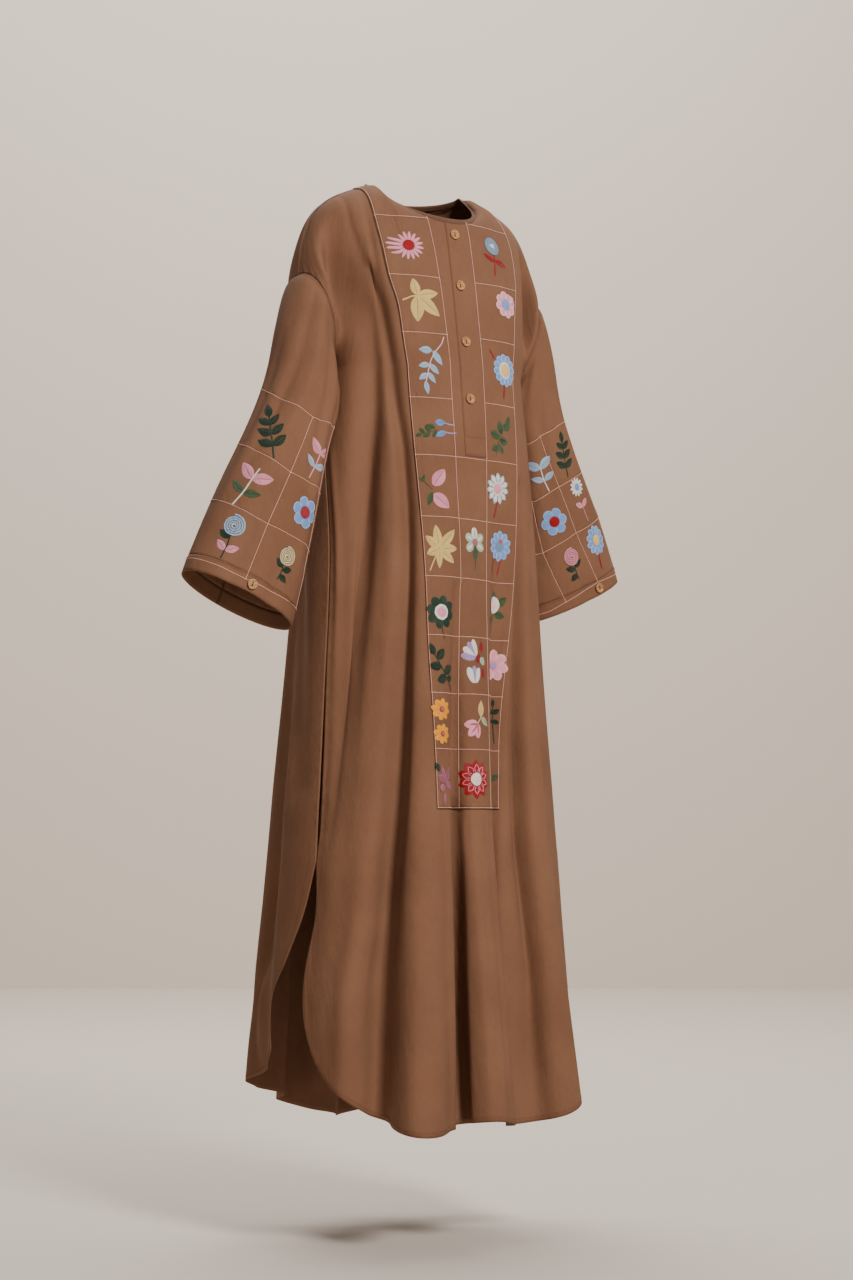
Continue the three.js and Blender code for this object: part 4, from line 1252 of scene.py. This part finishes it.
def neck_binding():
    """The bound edge of the neck, a rounded band that carries on past the neckline's edge."""
    ring = [(front, j) for j in np.where(LENGTH <= NECK_HALF_WIDTH)[0]]
    ring += [(back, j) for j in reversed(np.where(LENGTH < NECK_HALF_WIDTH)[0])]
    edge = np.array([cloth.points[0, j] for cloth, j in ring])
    normal = np.array([cloth.normals[0, j] for cloth, j in ring])
    upward = unit(np.array([cloth.points[0, j] - cloth.points[2, j] for cloth, j in ring]))
    inward = unit(-edge * (1, 1, 0))
    upward = unit(upward * BINDING_LEAN[0] + inward * BINDING_LEAN[1] + (0, 0, BINDING_LEAN[2]))
    outer, inner = [], []
    for share in np.arange(BINDING["steps"] + 1) / BINDING["steps"]:
        middle = edge + upward * (BINDING["gap"] + BINDING["width"] * share)
        round_off = math.sqrt(1 - (0.9 * share) ** 4)
        outer.append(middle + normal * BINDING["raised"] * round_off)
        inner.append(middle - normal * BINDING["inside"] * round_off)
    outer, inner = np.array(outer), np.array(inner)
    both = np.concatenate([outer.reshape(-1, 3), inner.reshape(-1, 3)])
    faces = outward(both, wall_faces(*outer.shape[:2], True))
    uv = np.stack([lengths_along(outer, 1), lengths_along(outer, 0)], -1).reshape(-1, 2) * 0.001
    return finish_mesh("bound_neck", both, faces.tolist(), np.tile(uv, (2, 1)))


pieces["neck_binding"] = neck_binding()
for word, obj in pieces.items():
    slot = SLOTS.get(word, "cloth")
    obj.data.materials.append(LOOKS[slot])
    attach(obj, "root")
    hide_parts(word)

# LINES OF STITCHES

PINK_LINE = thread_material("pink line thread", colour(232, 178, 160), 0.08)
BROWN_LINE = thread_material("brown line thread", colour(104, 70, 50), 0.1)
PINK_STITCH = dict(pitch=3.0, size=(3.2, 1.05, 0.8), thread=PINK_LINE)
BROWN_STITCH = dict(pitch=2.9, size=(2.3, 0.8, 0.7), thread=BROWN_LINE)
STITCH_RAISED = 0.3
STAND_TOP_RAISED = STAND_RAISED + STAND_CLOTH + STITCH_RAISED
PANEL_TOP_RAISED = LAID_ON + PANEL_CLOTH + STITCH_RAISED
SLEEVE_LINE_RAISED = 0.4
CUFF_TOP_RAISED = 0.9
PANEL_EDGE = 95.5
PANEL_TOP_Z = -8
STAND_TOP_Z = -22
STAND_BOX_Z = -392
HEM_STITCH_UP = 7
SLIT_STITCH_ASIDE = 12
SEAM_STITCH_ASIDE = 5


def line_on(cloth, marks, raised, step=3.0, scale=1.0):
    """A path on a cloth through marks of u and v. scale is the millimetres to one of u."""
    marks = np.array(marks, float)
    size = np.hypot(np.diff(marks[:, 0]) * scale, np.diff(marks[:, 1]))
    passed = np.concatenate([[0], np.cumsum(size)])
    at = np.linspace(0, passed[-1], max(2, int(passed[-1] / step)))
    row, column = cloth.place_of(np.interp(at, passed, marks[:, 0]), np.interp(at, passed, marks[:, 1]))
    return cloth.read(row, column, raised)


def left_line(z):
    marks = np.array(STAND_LINE_LEFT, float)
    return float(np.interp(-z, -marks[:, 1], marks[:, 0]))


foot = BODY_LINES_Z[-1]
lines = [
    line_on(front, STAND_LINE_LEFT, PANEL_TOP_RAISED),
    line_on(front, [(STAND_LINE_RIGHT, STAND_TOP_Z), (STAND_LINE_RIGHT, STAND[2])], STAND_TOP_RAISED),
    line_on(front, [(STAND_LINE_RIGHT, STAND[2]), (STAND_LINE_RIGHT, foot)], PANEL_TOP_RAISED),
]
marks = [[(edge, PANEL_TOP_Z), (edge, foot)] for edge in (-PANEL_EDGE, PANEL_EDGE)]
for z in BODY_LINES_Z:
    marks.append([(-PANEL_EDGE, z), (left_line(z), z)])
    marks.append([(STAND_LINE_RIGHT, z), (PANEL_EDGE, z)])
    if z < STAND[2]:
        marks.append([(left_line(z), z), (STAND_LINE_RIGHT, z)])
lines += [line_on(front, line, PANEL_TOP_RAISED) for line in marks]
stitched_lines("pink_lines_panel", lines, **PINK_STITCH)
for word, cloth in sleeves.items():
    marks = SLEEVE_RINGS_V[word] + SLEEVE_POSTS[word]
    lines = [line_on(cloth, line, SLEEVE_LINE_RAISED, scale=SLEEVE_DEGREE) for line in marks]
    stitched_lines("pink_lines_sleeve_" + word, lines, **PINK_STITCH)


def along_rows(cloth, rows, aside, from_right):
    """A path down a cloth at some millimetres inside its side edge."""
    column = []
    for reach in lengths_along(cloth.points, 1)[rows]:
        column.append(np.interp(reach[-1] - aside if from_right else aside, reach, np.arange(len(reach))))
    return cloth.read(np.array(rows, float), np.array(column), STITCH_RAISED)


def along_columns(cloth, columns, aside, from_foot):
    """A path across a cloth at some millimetres from its upper or lower edge."""
    row = []
    for fall in lengths_along(cloth.points, 0)[:, columns].T:
        row.append(np.interp(fall[-1] - aside if from_foot else aside, fall, np.arange(len(fall))))
    return cloth.read(np.array(row), columns.astype(float), STITCH_RAISED)


lines = []
for cloth in (front, back):
    lines.append(along_columns(cloth, np.arange(cloth.points.shape[1]), HEM_STITCH_UP, True))
    tail_rows = list(range(SLIT_ROW - 2, cloth.points.shape[0] - 1))
    for from_right in (False, True):
        lines.append(along_rows(cloth, tail_rows, SLIT_STITCH_ASIDE, from_right))
shoulder = np.where(LENGTH >= NECK_HALF_WIDTH + 6)[0]
for half in (shoulder[BODY_U[shoulder] < 0], shoulder[BODY_U[shoulder] > 0]):
    lines.append(along_columns(front, half, SEAM_STITCH_ASIDE, False))
for cloth in sleeves.values():
    ring = np.arange(cloth.points.shape[1])
    for row, raised in ((CUFF_ROW + 0.4, CUFF_TOP_RAISED), (1.2, STITCH_RAISED)):
        lines.append(cloth.read(np.full(len(ring), row), ring.astype(float), raised))
box_left = STAND[0] + 2
box = [(box_left, STAND_TOP_Z - 2), (box_left, STAND_BOX_Z), (STAND_LINE_RIGHT, STAND_BOX_Z)]
lines.append(line_on(front, box, STAND_TOP_RAISED))
stitched_lines("brown_lines", lines, **BROWN_STITCH)

# FLOWERS AND LEAVES OF THE PANEL

PANEL_RAISED = LAID_ON + PANEL_CLOTH + 0.15


def on_front(u, v, size=1.0, wide=1.0):
    return Motif(front, u, v, PANEL_RAISED, size, wide=wide)


def daisy(m, count, inner, length, width, petals, centre, centre_radius, tip=0.8, start=90, edge=None):
    m.ring_of(count, inner, length, width, petals, tip, start, edge)
    return m.disc((0, 0), centre_radius, centre, 2.0)


def orange_flower(v, size):
    m = daisy(on_front(-80, v, size, wide=1.2), 8, 4, 12, 8.6, "orange", "rose", 3.6, 0.7, start=80)
    return m.disc((0, 0), 1.8, "orange", 1.9)


def mist_flower(m):
    m.stem([(1, -16), (1, -28), (0, -40)], "soft green", 1.4)
    m.leaf((1, -6), -90, 20, 13, "soft green", 0.9)
    for angle in (92, 30, -24, 213, 154):
        m.petal((0, 0), angle, 17, 13, "white" if angle == 92 else "mist", 0.6, start=5)
        m.petal((0, 0), angle, 13, 5, "mist" if angle == 92 else "white", 0.6, 1.3, start=7)
    return m.disc((0, 0), 6, "mauve")


def tulips(m):
    m.stem([(4, 10), (16, 8), (29, 9)], "soft green", 1.2)
    for x, y, angle in ((23, 15, 88), (10, 0, 60), (25.5, -23, 90)):
        m.leaf((x, y), angle, 15, 10, "red", 0.8)
    m.petal((20, 8), -50, 14, 11, "mist", 0.8)
    for k, angle in enumerate((178, 152, 127, 102)):
        m.petal((8, 8), angle, 26, 13, "white" if k % 2 else "lilac", 0.8)
    for k, angle in enumerate((118, 90, 62)):
        m.petal((4, -30), angle, 25, 13, "lilac" if k % 2 else "white", 0.8)
    return m


def pink_bloom(m):
    m.leaf((9, 3), -36, 21, 10, "mist", 1.1)
    m.leaf((8, 3), 86, 25, 14, "yellow", 1.2)
    m.stem([(9, 4), (4, -2), (-6, -14)], "yellow", 1.8)
    for angle, length in ((184, 22), (228, 24), (270, 21)):
        m.petal((0, -7), angle, length, 13, "pink", 0.8)
        m.petal((0, -7), angle, length - 5, 4, "rose", 1.0, 1.2)
    return m


def red_flower(m):
    m.disc((0, 0), 18, "red", 0.8)
    m.ring_of(10, 7, 21.5, 14.5, "red", 1.1)
    loop = np.array([(11, -2), (16, -4), (22, 0), (16, 4), (11, 2)])
    for angle in range(90, 450, 36):
        m.stem(along_angle((0, 0), angle, loop[:, 0], loop[:, 1]), "pink", 1.1, 1.5)
    m.disc((0, 0), 9.5, "white", 1.7)
    return m.disc((0, 0), 5.5, "pale pink", 2.2)


embroidered("stitched_flowers_left", [
    # Pink daisy
    daisy(on_front(-77, -109, 0.86), 16, 9, 18, 5.4, "pink", "red", 10, start=84),
    # Yellow leaf
    on_front(-70, -191)
    .leaves((-4, 5), [(102, 27, 15), (12, 35, 15), (-39, 45, 20), (-92, 40, 21)], "yellow", 1.1)
    .stem([(-4, 5), (-14, 3), (-26, -3)], "yellow", 2.2),
    # Blue sprig
    on_front(-62.5, -293).sprig([(24, 48), (19, 36), (9, 25), (1.5, 12), (-3, -3), (-7, -21)], [
        (4, 26, 178, 20, 11), (5, 26, -57, 26, 10), (-1, 5, 190, 17, 9), (-1, 6, -47, 21, 9),
        (-4, -9, 215, 17, 9), (-4, -7, -55, 20, 8), (-8, -20, -82, 21, 8),
    ], "pale blue", "pale pink", 1.4, 1.3),
    # Two blue buds beside a green sprig
    on_front(-62.5, -386).sprig([(4, 0), (-9, -4), (-24, -8)], [
        (0, 2, 160, 14, 8), (-8, -3, 130, 12, 7), (-8, -4, 215, 14, 8), (-16, -6, 140, 11, 6),
        (-20, -7, 200, 11, 6), (2, -2, 235, 12, 6),
    ], "soft green", width=1.2)
    .leaf((0, 11), 2, 17, 10.5, "sky")
    .leaf((17, -2), 205, 20, 9, "sky")
    .stem([(16, 11), (24, 9), (32, 9)], "lilac", 2.0)
    .stem([(15, -3), (24, -4), (34, -3)], "lilac", 2.0),
    # Two pink teardrops
    on_front(-66, -473).sprig([(-10, -2), (-22, 10), (-29, 14)], [
        (-20, 9, 150, 10, 5), (-24, 11, 60, 9, 4.5),
    ], "soft green", width=1.2)
    .leaf((-10, -6), 250, 22, 9, "soft green")
    .leaf((-8, 3), 53, 32, 19, "pink", 1.0)
    .leaf((-9, -9), -40, 31, 20, "pink", 1.0),
    # Cream palm leaf
    on_front(-72.5, -562).leaves((0, 0), [
        (97, 35, 14), (47, 40, 14), (3, 31, 13), (-40, 31, 13), (-92, 29, 10), (205, 21, 14), (138, 27, 13),
    ], "yellow", 1.0)
    .stem([(-1, -2), (-9, -17), (-16, -33)], "yellow", 1.8),
    # Green flower
    on_front(-73.5, -654).ring_of(8, 7, 17.5, 13.6, "green", 0.7, 78)
    .stem([(0, -22), (2, -30), (4, -38)], "green", 1.4)
    .disc((0, 0), 11.5, "white", 1.3)
    .disc((0, 0), 8, "pink", 1.9),
    # Green sprig
    on_front(-74, -731).sprig([(-21, 30), (-13, 14), (-3, -2), (7, -16), (21, -34)], [
        (-14, 15, 112, 18, 10), (-9, 9, 52, 19, 13), (-3, -2, 176, 20, 13), (3, -10, 28, 21, 14),
        (7, -16, 200, 19, 14), (9, -18, 2, 15, 10),
    ], "green", width=1.8, tip=0.9),
    orange_flower(-794, 1.0),
    orange_flower(-829, 0.92),
    # Mauve leaves
    on_front(-76, -897).leaf((-14, 14), 120, 15, 9, "green")
    .leaves((1, 1), [(118, 25, 9), (56, 26, 11), (160, 21, 11), (-40, 20, 10)], "mauve", 1.0)
    .stem([(0, 0), (-2, -16), (-2, -36)], "mauve", 1.2)
    .disc((-9, -9), 5.5, "mauve")
    .leaf((-2, -16), -92, 17, 8, "mauve", 1.4),
])
embroidered("stitched_flowers_middle", [
    mist_flower(on_front(-1, -548)), tulips(on_front(-13.5, -723.5)), pink_bloom(on_front(-5, -806)),
    red_flower(on_front(-9, -893)),
])
embroidered("stitched_flowers_right", [
    # Oval bloom on a red stem
    on_front(70, -113).stem([(0, 10), (-1, -4), (-6, -26)], "red", 2.4)
    .leaf((-2, -4), 148, 22, 8, "red", 1.1)
    .leaf((0, -2), -10, 24, 11, "red", 1.0)
    .disc((0, 22), 14.5, "grey blue")
    .disc((0, 22), 11.5, "pale blue", 1.5)
    .disc((0, 22), 4, "pale pink", 2.0),
    # Pink and blue flower
    on_front(80, -182).ring_of(8, 7, 14, 11.6, "pink", 0.6, 100, "pale pink")
    .disc((0, 0), 8.5, "sky", 1.5),
    # Blue daisy
    on_front(74, -284).stem([(-29, 29), (-21, 16)], "red", 3.2)
    .stem([(-2, -20), (-4, -32), (-6, -43)], "red", 3.0)
    .ring_of(12, 9, 16, 10.4, "sky", 0.6, 97, "pale blue")
    .disc((0, 0), 13, "white", 1.5)
    .disc((0, 0), 10.5, "yellow", 2.0),
    # Leafy sprig
    on_front(60, -382).sprig([(-13, -32), (-6, -10), (4, 6), (20, 22)], [
        (-4, -4, 165, 19, 14), (1, 2, 105, 18, 14), (6, 8, 35, 18, 13), (14, 16, 60, 14, 10),
        (-4, -8, -15, 17, 12), (-8, -16, -50, 16, 11), (-9, -18, 215, 14, 10),
    ], "soft green", width=1.4, tip=0.9)
    .leaf((0, 0), 100, 12, 9, "green")
    .leaf((-4, -8), -20, 13, 9, "green"),
    # White daisy
    on_front(51, -464).stem([(0, -20), (-3, -32), (-6, -43)], "red", 2.8)
    .ring_of(11, 7, 16, 9, "white", 0.65, edge="grey blue")
    .disc((0, 0), 7.5, "pink", 1.5),
    # Blue rosette on two stems
    on_front(62, -548).stem([(-12, -20), (-14, -32), (-15, -42)], "red", 2.6)
    .stem([(5, -20), (3, -32), (0, -42)], "red", 2.6)
    .ring_of(10, 6, 17, 10, "sky", 0.6, edge="pale blue")
    .disc((0, 0), 7.5, "grey blue", 1.5)
    .disc((2, 7), 4, "rose", 1.8),
    # White oval
    on_front(63, -639).sprig([(4, 20), (2, -6), (-4, -36)], [
        (6, 2, 40, 22, 12), (4, -8, -20, 18, 11), (0, 12, 100, 14, 9), (0, -14, 215, 14, 8),
    ], "soft green", width=1.4)
    .disc((-1, 4), 12.5, "white", 1.4)
    .disc((-1, 4), 7.5, "pale pink", 1.9),
    # Pink rosette
    on_front(76, -724).ring_of(7, 5, 19, 13.5, "pink", 0.7, edge="pale pink")
    .disc((0, 0), 5.5, "lilac", 1.5),
    # Thin sprig
    on_front(84, -803).sprig([(0, 28), (0, 0), (2, -36)], [
        (0, 8, 150, 12, 8), (0, 8, 32, 12, 8), (0, -2, 205, 11, 7), (0, -2, -24, 11, 7), (0, 18, 90, 12, 6),
    ], "green"),
    # Faint sprig
    on_front(84, -893).sprig([(-3, 18), (0, 0), (3, -28)], [
        (0, 2, 150, 13, 8), (0, 0, 30, 14, 9), (1, -10, 210, 11, 6), (-2, 12, 80, 12, 7),
    ], "soft green", width=1.3),
])

# FLOWERS AND LEAVES OF THE SLEEVES

SLEEVE_RAISED = 0.15


def dark_sprig(m):
    return m.sprig([(0, -32), (1, -10), (0, 22)], [
        (1, -18, 145, 19, 10), (1, -18, 35, 19, 10), (1, -4, 145, 18, 10), (1, -4, 35, 18, 10),
        (0, 9, 140, 16, 9), (0, 9, 40, 16, 9), (0, 18, 90, 16, 9),
    ], "green", width=1.8)


def leaf_pair(m, stem="pale pink", under=None, pair="pink"):
    """Two leaves on a stem, with leaves of another colour below."""
    m.stem([(-3, -34), (0, -14), (0, 6), (1, 20 if under == "soft green" else 7)], stem, 1.8)
    m.leaves((0, 4), [(148, 26, 14), (32, 26, 14)], pair, 1.0)
    return m.leaves((-1, -16), [(154, 21, 10), (24, 22, 10)], under) if under else m


def six_petals(m, petals="sky", centre="red"):
    m.ring_of(6, 6, 16, 14.5, petals, 0.6, 60, "pale blue" if petals == "sky" else None)
    return m.disc((0, 0), 8.5, centre, 1.5)


def spiral_bloom(m, petals, leaves, low=None):
    """A round bloom wound of one thick line, with leaves on its stem."""
    m.stem([(0, -14), (1, -28), (-1, -50 if low else -42)], leaves, 1.8)
    m.leaf((0, -20), 152, 19, 11, leaves)
    if low:
        m.leaves((0, -38), [(140, 19, 11), (32, 21, 11)], low)
    else:
        m.leaf((1, -24), 26, 19, 11, leaves)
        m.leaf((0, -32), -28, 17, 11, leaves)
    return m.spiral((0, 0), 15.5, 4.3, petals, 2.5)


def red_stem_daisy(m):
    m.stem([(2, -20), (4, -34), (4, -46)], "red", 3.0)
    return daisy(m, 11, 7, 17, 9.5, "sky", "yellow", 9, 0.6, edge="pale blue")


# Each motif, its place in u and v, its size and turn, and what the motif is told
SLEEVE_FLOWERS = {
    "right": [
        (dark_sprig, (42, -224), (1.34, 26)),
        (leaf_pair, (118, -226), (1.1, -4), "pink", "pale blue"),
        (leaf_pair, (44, -312), (1.22, -12), "white", "soft green"),
        (six_petals, (116, -316), (1.08, 0)),
        (spiral_bloom, (45, -385), (1.03, 0), "pale blue", "green", "pink"),
        (spiral_bloom, (108.5, -390), (0.9, 0), "cream", "green"),
        (leaf_pair, (196, -224), (1.1, 0), "white", "soft green"),
        (spiral_bloom, (196, -296), (0.85, 0), "pink", "green"),
        (six_petals, (193, -398), (1.0, 0), "pale blue", "yellow"),
        (six_petals, (-62, -200), (0.9, 0), "pink", "sky"),
        (dark_sprig, (-64, -296), (1.0, 0)),
        (spiral_bloom, (-62, -380), (0.9, 0), "cream", "green"),
        (dark_sprig, (248, -390), (0.9, 0)),
    ],
    "left": [
        (leaf_pair, (119, -222), (1.0, 0), "white", "pale blue", "pale blue"),
        (dark_sprig, (77, -210), (1.1, 6)),
        (six_petals, (115, -314), (1.0, 0)),
        (daisy, (71, -272), (0.72, 0), 12, 6, 15, 7, "white", "sky", 8),
        (leaf_pair, (70, -312), (0.66, -4), "pink"),
        (spiral_bloom, (103, -384), (0.9, 0), "pink", "green"),
        (red_stem_daisy, (64, -376), (1.0, 0)),
        (leaf_pair, (180, -214), (1.1, 0), "white", "soft green"),
        (six_petals, (176, -308), (1.0, 0), "pink", "sky"),
        (spiral_bloom, (172, -392), (0.85, 0), "cream", "green"),
        (dark_sprig, (-18, -300), (1.0, 0)),
        (six_petals, (-16, -206), (0.9, 0), "pale blue", "yellow"),
        (spiral_bloom, (-18, -388), (0.9, 0), "pale blue", "green", "pink"),
    ],
}
for word, rows in SLEEVE_FLOWERS.items():
    motifs = [draw(Motif(sleeves[word], *at, SLEEVE_RAISED, *look), *told) for draw, at, look, *told in rows]
    embroidered("stitched_flowers_%s_sleeve" % word, motifs)

# BUTTONS

BUTTON = dict(radius=7.5, height=3.2, rim=1.4, dish=1.0)
HOLE = dict(away=2.3, radius=1.35, depth=2.1)
FRONT_BUTTON_Z = [-84, -163, -249, -335]
CUFF_BUTTON_TURN = 80
CUFF_BUTTON_RAISED = 0.9
BUTTON_RINGS = 22
BUTTON_AROUND = 72
TIE_POINTS = 9
TIE_SUNK = 0.9


def button_object(name, seat, normal, down):
    """A turned wooden button with two sunk holes and the thread that holds it."""
    normal = unit(normal)
    down = unit(down - normal * (down @ normal))
    aside = np.cross(down, normal)
    radius, height = BUTTON["radius"], BUTTON["height"]
    rim, dish = BUTTON["rim"], BUTTON["dish"]
    turn = np.arange(BUTTON_AROUND) * 2 * math.pi / BUTTON_AROUND
    reach = np.linspace(0.15, radius - 0.3, BUTTON_RINGS)
    x, y = reach[:, None] * np.cos(turn), reach[:, None] * np.sin(turn)
    rise = np.clip((reach - radius + 2.1 * rim) / (1.1 * rim), 0, 1)
    top = height - dish + dish * np.sin(rise * math.pi / 2)[:, None] + 0 * x
    top[-1] -= 0.25
    for sign in (-1, 1):
        near = np.hypot(x, y - sign * HOLE["away"])
        top -= HOLE["depth"] * np.clip((HOLE["radius"] - near) / 0.3, 0, 1)
    rings = [(radius, height * 0.8), (radius * 0.99, height * 0.4), (radius * 0.86, 0.0), (0.15, 0.0)]
    shape = [np.stack([x, y, top], -1)]
    for r, z in rings:
        shape.append(np.stack([r * np.cos(turn), r * np.sin(turn), np.full(BUTTON_AROUND, z)], -1)[None])
    shape = np.concatenate(shape)
    points = (seat + shape[..., :1] * aside + shape[..., 1:2] * down + shape[..., 2:] * normal).reshape(-1, 3)
    rows = shape.shape[0]
    i, j = np.meshgrid(np.arange(rows - 1), np.arange(BUTTON_AROUND), indexing="ij")
    a, b = i * BUTTON_AROUND + j, i * BUTTON_AROUND + (j + 1) % BUTTON_AROUND
    faces = np.stack([a, a + BUTTON_AROUND, b + BUTTON_AROUND, b], -1).reshape(-1, 4).tolist()
    faces.append(list(range(BUTTON_AROUND)))
    last = (rows - 1) * BUTTON_AROUND
    faces.append(list(range(last + BUTTON_AROUND - 1, last - 1, -1)))
    if np.cross(aside, down) @ normal < 0:
        faces = [face[::-1] for face in faces]
    obj = finish_mesh(name, points, faces)
    obj.data.materials.append(LOOKS["button"])
    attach(obj, "root")
    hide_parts(name)
    middle = seat + normal * (height - dish + 0.25)
    across = np.linspace(-1, 1, TIE_POINTS)[:, None]
    path = middle + down * HOLE["away"] * across - normal * (TIE_SUNK * across ** 6)
    return path, np.tile(normal, (TIE_POINTS, 1))


ties = []
for k, z in enumerate(FRONT_BUTTON_Z):
    row, column = front.place_of(np.array([0.0, 0.0]), np.array([z, z - 5.0]))
    (seat, below), (normal, _) = front.read(row, column, STAND_RAISED + STAND_CLOTH + 0.05)
    ties.append(button_object("button_front_%d" % (k + 1), seat, normal, below - seat))
for word, cloth in sleeves.items():
    cuff_row = (CUFF_ROW + cloth.points.shape[0] - 1) / 2
    row = np.array([cuff_row, cuff_row + 1])
    column = np.full(2, (CUFF_BUTTON_TURN + 90) * AROUND / 360)
    (seat, below), (normal, _) = cloth.read(row, column, CUFF_BUTTON_RAISED)
    ties.append(button_object("button_cuff_" + word, seat, normal, below - seat))
TIE_THREAD = thread_material("button thread", colour(58, 34, 22), 0.1)
stitched_lines("button_ties", ties, pitch=0.7, size=(1.4, 1.5, 1.0), thread=TIE_THREAD)

# FLAT SIZE AND AREA OF EACH PIECE OF CLOTH, WORKED OUT AND NOT PASSED ON

def cut_of(cloth, rows=slice(None), columns=slice(None)):
    """Width, length and flat area in metres of a cloth's rows and columns, measured on the cloth."""
    points = cloth.points[rows, columns]
    if cloth.closed_round:
        points = np.concatenate([points, points[:, :1]], axis=1)
    width, length = lengths_along(points, 1).max(), lengths_along(points, 0).max()
    upper, left = points[:-1, 1:] - points[:-1, :-1], points[1:, :-1] - points[:-1, :-1]
    lower, right = points[1:, :-1] - points[1:, 1:], points[:-1, 1:] - points[1:, 1:]
    halves = (np.cross(upper, left), np.cross(lower, right))
    area = sum(np.linalg.norm(half, axis=-1).sum() for half in halves) / 2
    return (width * 0.001, length * 0.001), area * 1e-6


def declare(cut):
    flat, area = cut
    area = min(area, flat[0] * flat[1])


declare(cut_of(front))
declare(cut_of(back))
declare(cut_of(front, panel_rows, panel_columns))
declare(cut_of(front, stand_rows, stand_columns))
for word, cloth in sleeves.items():
    declare(cut_of(cloth, sleeve_rows))
    declare(cut_of(cloth, cuff_rows))

# STAGE

FLOOR_Z = -1562
FLOOR_REACH = 9000
WALL = dict(away=6000, reach=8000, top=5000)
WORLD_STRENGTH = 0.105

corners = [(x * FLOOR_REACH, y * FLOOR_REACH, FLOOR_Z) for x, y in ((-1, -1), (1, -1), (1, 1), (-1, 1))]
floor = finish_mesh("floor", corners, [(0, 1, 2, 3)])
floor.data.materials.append(plain_material("pale floor", colour(208, 198, 188), 0.8))
ahead = np.array([-math.sin(VIEW_TURN), math.cos(VIEW_TURN), 0])
aside = np.array([math.cos(VIEW_TURN), math.sin(VIEW_TURN), 0])
corners = [
    ahead * WALL["away"] + aside * side * WALL["reach"] + (0, 0, z)
    for side, z in ((-1, FLOOR_Z), (1, FLOOR_Z), (1, WALL["top"]), (-1, WALL["top"]))
]
backdrop = finish_mesh("backdrop", corners, [(0, 1, 2, 3)])
backdrop.data.materials.append(plain_material("pale wall", colour(216, 204, 192), 0.9))
world = bpy.data.worlds.new("studio")
bpy.context.scene.world = world
world.use_nodes = True
background = world.node_tree.nodes["Background"]
background.inputs["Color"].default_value = colour(232, 222, 210)
background.inputs["Strength"].default_value = WORLD_STRENGTH
camera_and_light()
